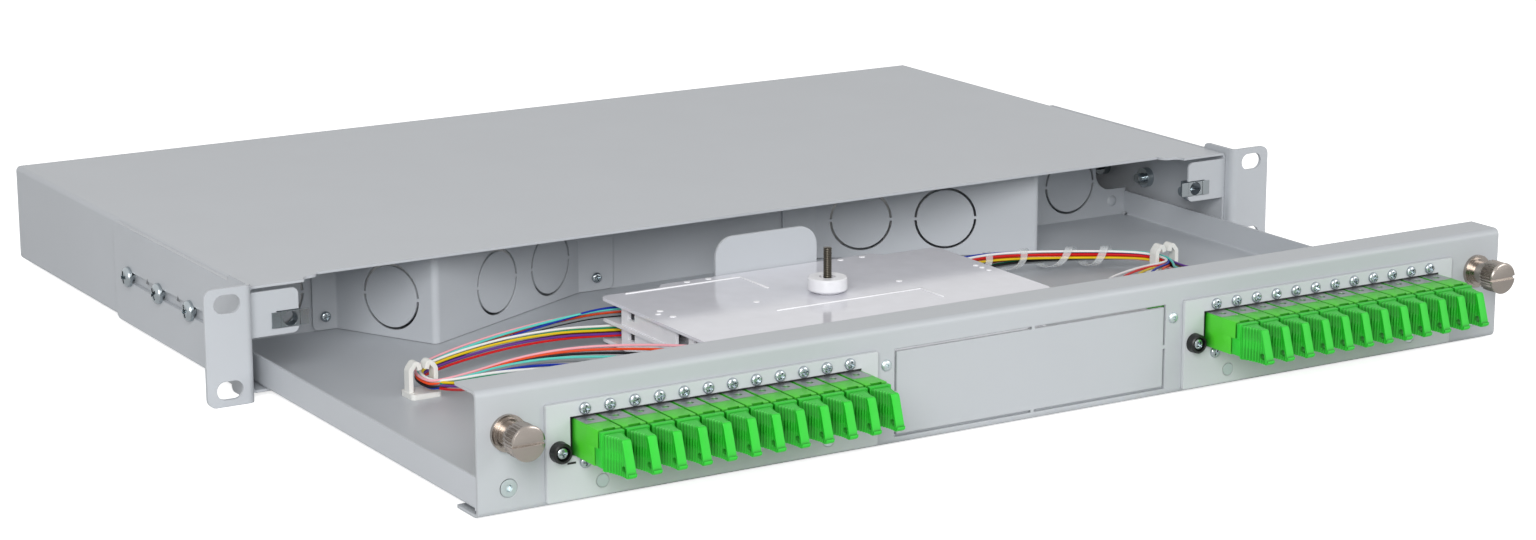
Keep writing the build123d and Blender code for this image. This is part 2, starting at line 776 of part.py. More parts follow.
# Countersunk screws with their nuts, and two rivets beside the blank
with BuildPart() as panel_fasteners:
    for side in (-1, 1):
        place = (side * panel_screw_x, panel_screw_z)
        head = (panel_screw_head_diameter - panel_screw_diameter) / 2
        with Locations(plane_y(panel_front)):
            with Locations(place):
                Cone(
                    panel_screw_diameter / 2,
                    panel_screw_head_diameter / 2,
                    head,
                    align=(Align.CENTER, Align.CENTER, Align.MAX),
                )
                Cylinder(
                    panel_screw_diameter / 2,
                    panel_screw_length,
                    align=(Align.CENTER, Align.CENTER, Align.MAX),
                )
        with BuildSketch(plane_y(panel_back + drawer_sheet)):
            with Locations(place):
                RegularPolygon(press_nut_diameter / 2, 6)
                Circle(panel_screw_diameter / 2 + thread_gap, mode=Mode.SUBTRACT)
        extrude(amount=-press_nut_height)
        with BuildSketch(plane_y(panel_front)):
            with Locations((side * panel_rivet_x, panel_rivet_z)):
                Circle(rivet_head_diameter / 2)
        extrude(amount=rivet_head_height)
        with BuildSketch(plane_y(panel_front)):
            with Locations((side * panel_rivet_x, panel_rivet_z)):
                Circle(rivet_diameter / 2)
        extrude(amount=-panel_sheet)
        with BuildSketch(plane_y(panel_back)):
            with Locations((side * panel_rivet_x, panel_rivet_z)):
                Circle(rivet_head_diameter / 2)
        extrude(amount=-rivet_head_height)
save(panel_fasteners, "panel_fasteners")

# Adapter plates on the front of the panel
with BuildPart() as adapter_plates:
    for left in plate_lefts:
        row = [left + adapter_first + adapter_pitch * i for i in range(adapter_count)]
        with BuildSketch(plane_y(panel_front)):
            with Locations((left + plate_width / 2, plate_middle_z)):
                RectangleRounded(plate_width, plate_height, plate_corner_radius)
            with Locations(((row[0] + row[-1]) / 2, adapter_z)):
                Rectangle(
                    adapter_row_width + 2 * adapter_gap, adapter_height + 2 * adapter_gap, mode=Mode.SUBTRACT
                )
            heights = [adapter_z + side * adapter_screw_step / 2 for side in (-1, 1)]
            with Locations(*[(x, z) for x in row for z in heights]):
                Circle(adapter_screw_diameter / 2 + thread_gap, mode=Mode.SUBTRACT)
            with Locations(*[(left + inset, plate_stud_z) for inset in plate_stud_insets]):
                Circle(plate_stud_diameter / 2 + thread_gap, mode=Mode.SUBTRACT)
            with Locations((left + cup_inset, cup_z)):
                Circle(small_screw_diameter / 2 + thread_gap, mode=Mode.SUBTRACT)
        extrude(amount=plate_sheet)
save(adapter_plates, "adapter_plates")

# Cup washers at the end of each plate, and the screws in them
with BuildPart() as cup_washers:
    for left in plate_lefts:
        place = (left + cup_inset, cup_z)
        with BuildSketch(plane_y(plate_front)):
            with Locations(place):
                RegularPolygon(cup_diameter / 2, cup_sides, major_radius=False)
        extrude(amount=cup_height)
        with Locations(plane_y(plate_front - cup_height)):
            with Locations(place):
                CounterBoreHole(
                    radius=small_screw_diameter / 2 + thread_gap,
                    counter_bore_radius=cup_diameter / 2 - cup_wall,
                    counter_bore_depth=cup_height - cup_wall,
                    depth=2 * cup_height,
                )
save(cup_washers, "cup_washers")

with BuildPart() as plate_screws:
    for left in plate_lefts:
        seat = plate_front - cup_wall
        with BuildSketch(plane_y(seat)):
            with Locations((left + cup_inset, cup_z)):
                Circle(cup_diameter / 2 - cup_wall - 2 * thread_gap)
        extrude(amount=small_screw_head_height)
        with BuildSketch(plane_y(seat)):
            with Locations((left + cup_inset, cup_z)):
                Circle(small_screw_diameter / 2)
        extrude(amount=-(panel_back - seat))
save(plate_screws, "plate_screws")

# Flush studs of the plates, each with a nut behind the panel
with BuildPart() as plate_studs:
    for left in plate_lefts:
        for inset in plate_stud_insets:
            place = (left + inset, plate_stud_z)
            with BuildSketch(plane_y(plate_front)):
                with Locations(place):
                    Circle(plate_stud_diameter / 2)
            extrude(amount=-plate_sheet)
            with BuildSketch(plane_y(panel_front)):
                with Locations(place):
                    Circle(plate_stud_shank / 2)
            extrude(amount=-(panel_sheet + 2 * plate_stud_nut_height))
            with BuildSketch(plane_y(panel_back)):
                with Locations(place):
                    RegularPolygon(plate_stud_nut_width / 2, 6, major_radius=False)
                    Circle(plate_stud_shank / 2 + thread_gap, mode=Mode.SUBTRACT)
            extrude(amount=-plate_stud_nut_height)
save(plate_studs, "plate_studs")

# Adapters: a square sleeve with a socket at each end and a flange behind the plate
with BuildPart() as adapters:
    for x in adapter_places:
        middle = (x, adapter_z)
        with BuildSketch(plane_y(adapter_front)):
            with Locations(middle):
                Rectangle(adapter_width, adapter_height)
        extrude(amount=-(adapter_rear - adapter_front))
        with BuildSketch(plane_y(panel_front)):
            with Locations(middle):
                Rectangle(adapter_width, adapter_flange_height)
        extrude(amount=-adapter_flange)
        with BuildSketch(plane_y(adapter_front)):
            with Locations(middle):
                Rectangle(adapter_socket_width, adapter_socket_height)
        extrude(amount=-(adapter_web_front - adapter_front), mode=Mode.SUBTRACT)
        with BuildSketch(plane_y(adapter_web_front + adapter_web)):
            with Locations(middle):
                Rectangle(adapter_socket_width, adapter_socket_height)
        extrude(amount=-adapter_rear_reach - adapter_flange, mode=Mode.SUBTRACT)
        top = adapter_z + adapter_height / 2
        slab(
            (x - clip_width / 2 - adapter_gap, x + clip_width / 2 + adapter_gap),
            (plate_front - clip_length - adapter_gap, plate_front),
            (top - clip_sheet, top),
            mode=Mode.SUBTRACT,
        )
save(adapters, "adapters")

# Metal clips let into the top of the adapters
with BuildPart() as adapter_clips:
    with BuildSketch(Plane.XY.offset(adapter_z + adapter_height / 2 - clip_sheet)):
        with Locations(*[(x, plate_front - clip_length / 2) for x in adapter_places]):
            Rectangle(clip_width, clip_length)
            Circle(clip_hole / 2, mode=Mode.SUBTRACT)
    extrude(amount=clip_sheet)
save(adapter_clips, "adapter_clips")

with BuildPart() as adapter_screws:
    heights = [adapter_z + side * adapter_screw_step / 2 for side in (-1, 1)]
    places = [(x, z) for x in adapter_places for z in heights]
    with BuildSketch(plane_y(plate_front)):
        with Locations(*places):
            Circle(adapter_screw_head_diameter / 2)
    extrude(amount=adapter_screw_head_height)
    with BuildSketch(plane_y(plate_front)):
        with Locations(*places):
            Circle(adapter_screw_diameter / 2)
    extrude(amount=-plate_sheet)
save(adapter_screws, "adapter_screws")

# Connectors with their boots, plugged in from behind
with BuildPart() as connectors:
    body_front = adapter_rear - connector_inside
    body_rear = body_front + connector_length
    for x in adapter_places:
        with BuildSketch(plane_y(body_front)):
            with Locations((x, adapter_z)):
                Rectangle(connector_width, connector_height)
        extrude(amount=-connector_length)
        with BuildSketch(plane_y(body_rear)):
            with Locations((x, adapter_z)):
                Circle(boot_root / 2)
        with BuildSketch(plane_y(body_rear + boot_length)):
            with Locations((x, adapter_z)):
                Circle(boot_tip / 2)
        loft()
save(connectors, "connectors")

# Dust caps: a plug, a collar and a ribbed grip that narrows to a slanting front edge
cap_seat = adapter_front - cap_gap
fin_root = cap_seat - cap_collar
fin_shoulder = cap_seat - cap_fin_top_reach
fin_tip = cap_seat - cap_fin_tip_reach
fin_top = adapter_z + cap_fin_rise
fin_bottom = adapter_z - cap_fin_drop
fin_plan = [
    (cap_collar_width / 2, fin_root),
    (cap_neck / 2, fin_root - cap_neck_reach),
    (cap_fin / 2, fin_root - cap_fin_taper),
    (cap_fin / 2, fin_tip),
]


def fin_half_width(y):
    """Half the width of the grip at a place along it."""
    for (wide, rear), (narrow, front) in zip(fin_plan, fin_plan[1:]):
        if y >= front:
            return narrow + (wide - narrow) * (y - front) / (rear - front)


with BuildPart() as cap:
    with BuildSketch(plane_x(0)) as side_view:
        with BuildLine():
            Polyline(
                (fin_root, fin_top),
                (fin_shoulder, fin_top),
                (fin_tip, fin_bottom),
                (fin_root, fin_bottom),
                close=True,
            )
        make_face()
        fillet(side_view.vertices().sort_by(Axis.X)[0], cap_tip_radius)
        fillet(side_view.vertices().group_by(Axis.Y)[-1].sort_by(Axis.X)[0], cap_top_radius)
        with Locations((fin_tip + cap_hole_inset, fin_bottom + cap_tip_radius)):
            Circle(cap_hole / 2, mode=Mode.SUBTRACT)
    extrude(amount=cap_collar_width / 2, both=True)
    with BuildSketch(Plane.XY.offset(fin_bottom)) as plan_view:
        with BuildLine():
            Polyline(*fin_plan, *[(-x, y) for x, y in reversed(fin_plan)], close=True)
        make_face()
    extrude(amount=fin_top - fin_bottom, mode=Mode.INTERSECT)
    # Upright grooves on both sides stop short of a plain rim
    for i in range(cap_groove_count):
        y = fin_root - cap_rim - cap_groove_pitch * (i + 1 / 2)
        front = y - cap_groove_width / 2
        slope_height = (fin_top - fin_bottom) * (front - fin_tip) / (fin_shoulder - fin_tip)
        groove_top = min(fin_top, fin_bottom + slope_height) - cap_rim
        groove_floor = fin_half_width(y) - cap_groove_depth
        for side in (-1, 1):
            slab(
                (side * groove_floor, side * cap_collar_width),
                (front, front + cap_groove_width),
                (fin_bottom + cap_rim, groove_top),
                mode=Mode.SUBTRACT,
            )
    with BuildSketch(plane_y(cap_seat)):
        with Locations((0, adapter_z)):
            Rectangle(adapter_socket_width - 2 * cap_gap, adapter_socket_height - 2 * cap_gap)
    extrude(amount=-cap_plug_depth)
    with BuildSketch(plane_y(cap_seat)):
        with Locations((0, adapter_z)):
            Rectangle(cap_collar_width, cap_collar_height)
    extrude(amount=cap_collar)

for index, x in enumerate(adapter_places):
    number = index % adapter_count + 1
    row_name = "left" if index < adapter_count else "right"
    with BuildPart() as placed_cap:
        with Locations((x, 0, 0)):
            add(cap.part)
    save(placed_cap, f"{row_name}_dust_cap_{number}")

# Thumbscrews: ferrule in the panel, spring, retaining ring and knob with its screw
bore_end = knob_back - knob_bore_depth
groove_front = ring_front + ring_gap / 2
groove_rear = groove_front + ring_thickness + 2 * ring_gap


def turned(x, outline):
    """A turned piece on the thumbscrew axis at x, from pairs of radius and place along Y."""
    with BuildSketch(Plane(origin=(x, 0, thumb_z))) as half:
        with BuildLine():
            Polyline(*outline, close=True)
        make_face()
    revolve(half.sketch, axis=Axis((x, 0, thumb_z), (0, 1, 0)))


with BuildPart() as ferrules:
    lip_radius = thumb_shank / 2 + running_gap
    for side in (-1, 1):
        turned(
            side * thumb_x,
            [
                (ferrule_bore / 2, panel_back),
                (ferrule_diameter / 2, panel_back),
                (ferrule_diameter / 2, panel_front),
                (ferrule_flange_diameter / 2, panel_front),
                (ferrule_flange_diameter / 2, panel_front - ferrule_rim),
                (ferrule_step_diameter / 2, panel_front - ferrule_rim),
                (ferrule_step_diameter / 2, panel_front - ferrule_flange),
                (ferrule_diameter / 2, panel_front - ferrule_flange),
                (ferrule_diameter / 2, ferrule_front),
                (lip_radius, ferrule_front),
                (lip_radius, ring_front),
                (ferrule_bore / 2, ring_front),
            ],
        )
save(ferrules, "ferrules")

for side, name in ((-1, "left"), (1, "right")):
    place = (side * thumb_x, thumb_z)
    with BuildPart() as spring:
        with BuildSketch(plane_y(ferrule_front)):
            with Locations(place):
                Circle(spring_diameter / 2)
                Circle(spring_diameter / 2 - spring_wire, mode=Mode.SUBTRACT)
        extrude(amount=ferrule_front - bore_end)
    save(spring, f"{name}_spring")
    with BuildPart() as ring:
        with BuildSketch(plane_y(groove_front + ring_gap)):
            with Locations(place):
                Circle(ring_diameter / 2)
                Circle(ring_groove_diameter / 2 + running_gap, mode=Mode.SUBTRACT)
        extrude(amount=-ring_thickness)
    save(ring, f"{name}_retaining_ring")
    # The knob is a slotted disc with a narrower grip round the bore that hides the spring
    with BuildPart() as thumbscrew:
        turned(
            side * thumb_x,
            [
                (0, knob_front),
                (knob_diameter / 2 - knob_edge, knob_front),
                (knob_diameter / 2, knob_front + knob_edge),
                (knob_diameter / 2, knob_front + knob_disc),
                (knob_grip_diameter / 2, knob_front + knob_disc),
                (knob_grip_diameter / 2, knob_back),
                (knob_bore / 2, knob_back),
                (knob_bore / 2, bore_end),
                (thumb_shank / 2, bore_end),
                (thumb_shank / 2, groove_front),
                (ring_groove_diameter / 2, groove_front),
                (ring_groove_diameter / 2, groove_rear),
                (thumb_shank / 2, groove_rear),
                (thumb_shank / 2, thumb_tip),
                (0, thumb_tip),
            ],
        )
        with BuildSketch(plane_y(knob_front)):
            with Locations(place):
                Rectangle(knob_diameter, thumb_slot_width)
        extrude(amount=-thumb_slot_depth, mode=Mode.SUBTRACT)
    save(thumbscrew, f"{name}_thumbscrew")

# Bracket under the cassettes, with a tongue bent up behind them
with BuildPart() as cassette_bracket:
    tongue_y = cassette_y + cassette_depth / 2 + lid_tail + bracket_sheet
    floor_middle = drawer_floor_top + bracket_sheet / 2
    with BuildSketch(plane_x(cassette_x - tongue_width / 2)):
        with BuildLine():
            FilletPolyline(
                (cassette_y, floor_middle),
                (tongue_y, floor_middle),
                (tongue_y, drawer_floor_top + tongue_height),
                radius=tongue_bend_radius,
            )
        trace(line_width=bracket_sheet)
    extrude(amount=tongue_width)
    upright = cassette_bracket.edges().filter_by(Axis.Y).group_by(Axis.Z)[-1]
    fillet(upright, tongue_radius)
    with BuildSketch(Plane.XY.offset(drawer_floor_top)):
        with Locations((cassette_x, cassette_y)):
            RectangleRounded(bracket_width, bracket_depth, cassette_corner_radius)
    extrude(amount=bracket_sheet)
save(cassette_bracket, "cassette_bracket")

# Splice cassettes: a floor that overhangs at both ends, inner walls and a comb for the sleeves
comb_y = cassette_y - sleeve_row_offset
for floor_z, name in zip(cassette_floors, ("lower_cassette", "upper_cassette")):
    with BuildPart() as cassette:
        with BuildSketch(Plane.XY.offset(floor_z)):
            with Locations((cassette_x, cassette_y)):
                RectangleRounded(cassette_width, cassette_depth, cassette_corner_radius)
                Circle(stud_diameter / 2 + stud_gap, mode=Mode.SUBTRACT)
        extrude(amount=cassette_floor)
        wall_width = cassette_width - 2 * cassette_end_overhang
        wall_depth = cassette_depth - 2 * cassette_side_overhang
        with BuildSketch(Plane.XY.offset(floor_z + cassette_floor)):
            with Locations((cassette_x, cassette_y)):
                RectangleRounded(wall_width, wall_depth, cassette_corner_radius)
                RectangleRounded(
                    wall_width - 2 * cassette_wall,
                    wall_depth - 2 * cassette_wall,
                    cassette_corner_radius - cassette_wall,
                    mode=Mode.SUBTRACT,
                )
                # Each end has a mouth for the fibres at the rear, and a window and a port at the front
                mouth_y = wall_depth / 2 - cassette_corner_radius - cassette_mouth / 2
                window_y = -wall_depth / 2 + cassette_window_lift + cassette_window / 2
                port_y = -wall_depth / 2 + cassette_port_lift + cassette_port / 2
                for opening_y, opening in (
                    (mouth_y, cassette_mouth),
                    (window_y, cassette_window),
                    (port_y, cassette_port),
                ):
                    with Locations((0, opening_y)):
                        Rectangle(2 * cassette_width, opening, mode=Mode.SUBTRACT)
                Circle(cassette_hub_diameter / 2)
                Circle(stud_diameter / 2 + stud_gap, mode=Mode.SUBTRACT)
        extrude(amount=cassette_pitch - cassette_floor)
        with BuildSketch(Plane.XY.offset(floor_z + cassette_floor)):
            with Locations((cassette_x, comb_y)):
                with GridLocations(comb_length, sleeve_pitch, 2, sleeve_count + 1):
                    Rectangle(comb_tooth, comb_rib)
        extrude(amount=comb_rib_height)
    save(cassette, name)

with BuildPart() as splice_sleeves:
    for floor_z in cassette_floors:
        sleeve_z = floor_z + cassette_floor + sleeve_diameter / 2
        for i in range(sleeve_count):
            y = comb_y + (i - (sleeve_count - 1) / 2) * sleeve_pitch
            with BuildSketch(Plane(origin=(cassette_x, y, sleeve_z), z_dir=(1, 0, 0))):
                Circle(sleeve_diameter / 2)
            extrude(amount=sleeve_length / 2, both=True)
save(splice_sleeves, "splice_sleeves")

with BuildPart() as cassette_lid:
    with BuildSketch(Plane.XY.offset(lid_bottom)):
        with Locations((cassette_x, cassette_y)):
            RectangleRounded(cassette_width, cassette_depth, cassette_corner_radius)
            for side, turn in ((1, 0), (-1, 180)):
                with Locations((0, side * cassette_depth / 2)):
                    Trapezoid(
                        lid_tail_width,
                        lid_tail,
                        lid_tail_angle,
                        rotation=turn,
                        align=(Align.CENTER, Align.MIN),
                    )
            Circle(stud_diameter / 2 + stud_gap, mode=Mode.SUBTRACT)
    extrude(amount=lid_sheet)
save(cassette_lid, "cassette_lid")

with BuildPart() as cassette_stud:
    with BuildSketch(Plane.XY.offset(bracket_top)):
        with Locations((cassette_x, cassette_y)):
            Circle(stud_diameter / 2)
    extrude(amount=stud_top - bracket_top)
save(cassette_stud, "cassette_stud")

with BuildPart() as cassette_nut:
    nut_bottom = lid_top + thread_gap
    nut_bore = stud_diameter / 2 + stud_gap
    half_plane = Plane(origin=(cassette_x, cassette_y, 0), x_dir=(1, 0, 0), z_dir=(0, -1, 0))
    with BuildSketch(half_plane) as half_nut:
        with BuildLine():
            Polyline(
                (nut_bore, nut_bottom),
                (nut_foot_diameter / 2, nut_bottom),
                (nut_foot_diameter / 2, nut_bottom + nut_foot),
                (nut_diameter / 2 - nut_edge, nut_bottom + nut_foot),
                (nut_diameter / 2, nut_bottom + nut_foot + nut_edge),
                (nut_diameter / 2, nut_bottom + nut_height - nut_edge),
                (nut_diameter / 2 - nut_edge, nut_bottom + nut_height),
                (nut_recess_diameter / 2, nut_bottom + nut_height),
                (nut_recess_diameter / 2, nut_bottom + nut_height - nut_recess),
                (nut_bore, nut_bottom + nut_height - nut_recess),
                close=True,
            )
        make_face()
    revolve(half_nut.sketch, axis=Axis((cassette_x, cassette_y, 0), (0, 0, 1)))
save(cassette_nut, "cassette_nut")

# Adhesive clips on the drawer floor: two legs whose crowns bend down between them
with BuildPart() as fibre_clips:
    clip_top = drawer_floor_top + clip_height
    crown_z = clip_top - clip_leg / 2
    for x, y in (left_clip_place, right_clip_place):
        with BuildSketch(Plane.XY.offset(drawer_floor_top)):
            with Locations((x, y)):
                RectangleRounded(clip_base_width, clip_base_length, clip_base_corner)
        extrude(amount=clip_base_height)
        for side in (-1, 1):
            with BuildSketch(plane_y(y)):
                with BuildLine():
                    FilletPolyline(
                        (x + side * clip_leg_spacing / 2, drawer_floor_top + clip_base_height / 2),
                        (x + side * clip_leg_spacing / 2, crown_z - clip_prong),
                        (x + side * clip_crown_spacing / 2, crown_z),
                        (x + side * clip_mouth / 2, crown_z - clip_prong),
                        radius=[clip_shoulder_radius, clip_crown_radius],
                    )
                trace(line_width=clip_leg)
            extrude(amount=clip_leg_length / 2, both=True)
save(fibre_clips, "fibre_clips")

# Pigtails: twelve fibres fan out from each clip, and run on behind it as one trunk
trunk_z = drawer_floor_top + clip_base_height + trunk_lift + trunk_diameter / 2
mouth_z = cassette_floors[0] + cassette_floor + trunk_lift + trunk_diameter / 2
left_x, left_y = left_clip_place
right_x, right_y = right_clip_place
mouth_y = cassette_y + cassette_depth / 2
left_end = cassette_x - cassette_width / 2
right_end = cassette_x + cassette_width / 2
left_trunk = [
    (left_x + 3.0, left_y - 9.0, trunk_z),
    (left_x, left_y - 1.0, trunk_z),
    (left_x + 2.5, left_y + 9.0, trunk_z),
    (left_x + 12.5, left_y + 16.5, trunk_z),
    (left_x + 27.5, left_y + 25.0, trunk_z),
    (left_end - 41.0, mouth_y + 3.0, mouth_z),
    (left_end - 18.0, mouth_y + 4.0, mouth_z),
    (left_end + 4.0, mouth_y - 8.0, mouth_z),
]
right_trunk = [
    (right_x - 3.0, right_y - 9.0, trunk_z),
    (right_x, right_y - 1.0, trunk_z),
    (right_x - 2.5, right_y + 9.0, trunk_z),
    (right_x - 13.0, right_y + 17.0, trunk_z),
    (right_x - 29.0, right_y + 24.0, trunk_z),
    (right_end + 42.0, mouth_y + 4.0, mouth_z),
    (right_end + 19.0, mouth_y + 3.0, mouth_z),
    (right_end - 4.0, mouth_y - 9.0, mouth_z),
]
# Two points on the way of the fibre nearest to the clip, and two for the farthest one
left_fan = [
    [(left_x + 3.5, left_y - 26.0, -10.0), (left_x - 2.5, left_y - 49.0, -3.0)],
    [(left_x + 44.5, left_y - 11.0, -5.0), (left_x + 79.5, left_y - 36.0, -1.5)],
]
right_fan = [
    [(right_x + 1.0, right_y - 26.0, -10.0), (right_x + 15.0, right_y - 53.0, -3.0)],
    [(right_x - 41.0, right_y - 16.0, -6.0), (right_x - 67.0, right_y - 40.0, -1.5)],
]
boot_end = adapter_rear - connector_inside + connector_length + boot_length
left_row = adapter_places[:adapter_count]
right_row = adapter_places[adapter_count:]
for name, trunk, fan, row in (
    ("left_pigtails", left_trunk, left_fan, left_row),
    ("right_pigtails", right_trunk, right_fan, list(reversed(right_row))),
):
    with BuildPart() as pigtails:
        tube(trunk, trunk_diameter)
        print(name, "trunk radii", [round(r, 1) for r in route_radii(trunk)])
        start = Vector(*trunk[0])
        heading = (Vector(*trunk[1]) - start).normalized()
        across = heading.cross(Vector(0, 0, 1)) * (1 if row[0] < row[-1] else -1)
        lanes_up = adapter_count // fibre_lanes_across
        for i, x in enumerate(row):
            column = i // lanes_up - (fibre_lanes_across - 1) / 2
            layer = i % lanes_up - (lanes_up - 1) / 2
            share = i / (adapter_count - 1)
            near, far = ([Vector(*point) for point in points] for points in fan)
            end = start + across * (column * fibre_lane_pitch) + Vector(0, 0, layer * fibre_lane_pitch)
            boot = Vector(x, boot_end, adapter_z)
            behind = boot + Vector(0, fibre_straight, 0)
            first, second = (a + (b - a) * share for a, b in zip(near, far))
            points = [tuple(p) for p in (boot, behind, second, first, end)]
            tube(points, fibre_diameter)
            print(name, "fibre", i + 1, "radii", [round(r, 1) for r in route_radii(points)])
    save(pigtails, name)
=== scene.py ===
"""Dresses the rack-mount fibre splice box: finishes, fibres, caps, screws and the studio."""

import math

import bmesh
import bpy
from mathutils import Matrix, Vector


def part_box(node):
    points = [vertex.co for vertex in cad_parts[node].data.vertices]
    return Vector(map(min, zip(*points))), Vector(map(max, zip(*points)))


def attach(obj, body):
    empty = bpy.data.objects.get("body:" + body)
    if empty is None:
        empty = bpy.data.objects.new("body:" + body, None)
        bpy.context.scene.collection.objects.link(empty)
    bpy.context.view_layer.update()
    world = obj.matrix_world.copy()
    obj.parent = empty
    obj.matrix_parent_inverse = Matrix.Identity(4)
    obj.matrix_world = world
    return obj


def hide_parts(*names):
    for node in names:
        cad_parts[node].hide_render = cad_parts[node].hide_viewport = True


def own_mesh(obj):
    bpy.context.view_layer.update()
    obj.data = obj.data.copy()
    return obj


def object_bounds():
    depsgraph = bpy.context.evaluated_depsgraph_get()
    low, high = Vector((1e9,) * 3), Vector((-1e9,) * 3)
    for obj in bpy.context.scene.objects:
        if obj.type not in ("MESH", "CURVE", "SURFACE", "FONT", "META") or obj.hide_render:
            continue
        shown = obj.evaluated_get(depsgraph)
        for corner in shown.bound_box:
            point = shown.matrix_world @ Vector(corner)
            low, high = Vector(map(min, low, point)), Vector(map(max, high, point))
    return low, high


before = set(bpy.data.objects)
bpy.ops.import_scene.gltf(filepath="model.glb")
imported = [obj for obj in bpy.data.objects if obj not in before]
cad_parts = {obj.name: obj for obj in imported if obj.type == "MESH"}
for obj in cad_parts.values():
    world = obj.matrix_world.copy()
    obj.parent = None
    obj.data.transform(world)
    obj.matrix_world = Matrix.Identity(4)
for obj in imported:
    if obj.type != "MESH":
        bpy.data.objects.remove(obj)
cad_box = [list(corner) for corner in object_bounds()]

bl_info = {
    "name": "Fibre splice box",
    "version": (1, 0, 0),
    "blender": (4, 5, 0),
    "location": "View3D > Sidebar > Splice box",
    "description": "Finishes and small pieces of a rack-mount fibre splice box",
    "category": "Object",
}

MM = 0.001
ADAPTERS_PER_ROW = 12

# Material slot of each finish that a new piece can have.
finishes = {}


def linear(hex_colour):
    """An sRGB hex colour as linear red, green, blue and alpha."""
    values = [int(hex_colour[i : i + 2], 16) / 255 for i in (0, 2, 4)]
    return tuple(v / 12.92 if v <= 0.04045 else ((v + 0.055) / 1.055) ** 2.4 for v in values) + (1.0,)


def mm_vector(point):
    """A point in millimetres as a vector in metres."""
    return Vector(point) * MM


LENGTH = {"unit": "LENGTH", "precision": 5}
COLOUR = {"size": 4, "subtype": "COLOR"}


class SpliceBoxSizes(bpy.types.PropertyGroup):
    """Sizes of the small pieces that the scene adds."""

    fibre_diameter: bpy.props.FloatProperty(
        name="Fibre", description="Diameter of one coated fibre", default=1.0 * MM, **LENGTH
    )
    knurl_teeth: bpy.props.IntProperty(
        name="Knurl teeth", description="Teeth round the grip of a thumbscrew", default=28, min=12
    )
    cap_ribs: bpy.props.IntProperty(
        name="Cap ribs", description="Grip ribs on each side of a dust cap", default=10, min=2
    )
    stud_pitch: bpy.props.FloatProperty(
        name="Stud pitch", description="Thread pitch of the cassette stud", default=0.7 * MM, **LENGTH
    )
    wrap_width: bpy.props.FloatProperty(
        name="Wrap width", description="Width of the spiral wrap's strip", default=3.4 * MM, **LENGTH
    )


class SpliceBoxColours(bpy.types.PropertyGroup):
    """Colours that a user may change, as linear values."""

    paint: bpy.props.FloatVectorProperty(
        name="Paint", description="Powder coat of the sheet metal", default=linear("B9BDC2"), **COLOUR
    )
    green: bpy.props.FloatVectorProperty(
        name="Green", description="Plastic of the adapters", default=linear("46C426"), **COLOUR
    )
    white: bpy.props.FloatVectorProperty(
        name="White", description="Plastic of the cassettes", default=linear("E6E6EA"), **COLOUR
    )


def add(tree, kind, sockets=None, links=None, **settings):
    """Adds a node with its settings, socket values and links."""
    made = tree.nodes.new(kind)
    for name, value in settings.items():
        setattr(made, name, value)
    for name, value in (sockets or {}).items():
        made.inputs[name].default_value = value
    for name, source in (links or {}).items():
        tree.links.new(source, made.inputs[name])
    return made


def new_material(name):
    """An empty material and its tree with one shader on the output."""
    material = bpy.data.materials.new(name)
    material.use_nodes = True
    tree = material.node_tree
    tree.nodes.clear()
    shader = add(tree, "ShaderNodeBsdfPrincipled")
    add(tree, "ShaderNodeOutputMaterial", links={"Surface": shader.outputs["BSDF"]})
    return material, tree, shader


def mottled(tree, shader, colour, size_mm, spread):
    """A faint cloudiness of the colour, size_mm across."""
    place = add(tree, "ShaderNodeTexCoord")
    noise = add(
        tree,
        "ShaderNodeTexNoise",
        {"Scale": 1 / (size_mm * MM), "Detail": 3.0},
        {"Vector": place.outputs["Object"]},
    )
    ramp = add(tree, "ShaderNodeValToRGB", links={"Fac": noise.outputs["Fac"]})
    for element, position, sign in zip(ramp.color_ramp.elements, (0.3, 0.7), (-1, 1)):
        element.position = position
        element.color = tuple(min(1.0, c * (1 + sign * spread)) for c in colour[:3]) + (1.0,)
    tree.links.new(ramp.outputs["Color"], shader.inputs["Base Color"])
    return place


def grained(tree, shader, place, size_mm, depth_mm, strength, edge_mm=0.0, stretch=(1, 1, 1)):
    """A fine grain in the surface, and edges rounded by edge_mm in the shading."""
    mapping = add(tree, "ShaderNodeMapping", {"Scale": stretch}, {"Vector": place.outputs["Object"]})
    noise = add(
        tree,
        "ShaderNodeTexNoise",
        {"Scale": 1 / (size_mm * MM), "Detail": 2.0},
        {"Vector": mapping.outputs["Vector"]},
    )
    bump = add(
        tree,
        "ShaderNodeBump",
        {"Strength": strength, "Distance": depth_mm * MM},
        {"Height": noise.outputs["Fac"]},
    )
    if edge_mm:
        edge = add(tree, "ShaderNodeBevel", {"Radius": edge_mm * MM}, samples=4)
        tree.links.new(edge.outputs["Normal"], bump.inputs["Normal"])
    tree.links.new(bump.outputs["Normal"], shader.inputs["Normal"])
    return noise


def set_sockets(shader, **values):
    """Sets shader sockets given with underscores for spaces."""
    for name, value in values.items():
        shader.inputs[name.replace("_", " ")].default_value = value


def powder_coat(name, colour, edge_mm=0.35):
    """Epoxy-polyester powder coat on sheet steel: even and satin, with a faint orange peel."""
    material, tree, shader = new_material(name)
    set_sockets(shader, Roughness=0.42, IOR=1.5, Coat_Weight=0.15, Coat_Roughness=0.3)
    place = mottled(tree, shader, colour, size_mm=35.0, spread=0.012)
    # The peel of the coat is about 0.8 mm across; it is drawn at 1.2 mm so that it shows.
    grained(tree, shader, place, size_mm=1.2, depth_mm=0.02, strength=0.25, edge_mm=edge_mm)
    return material


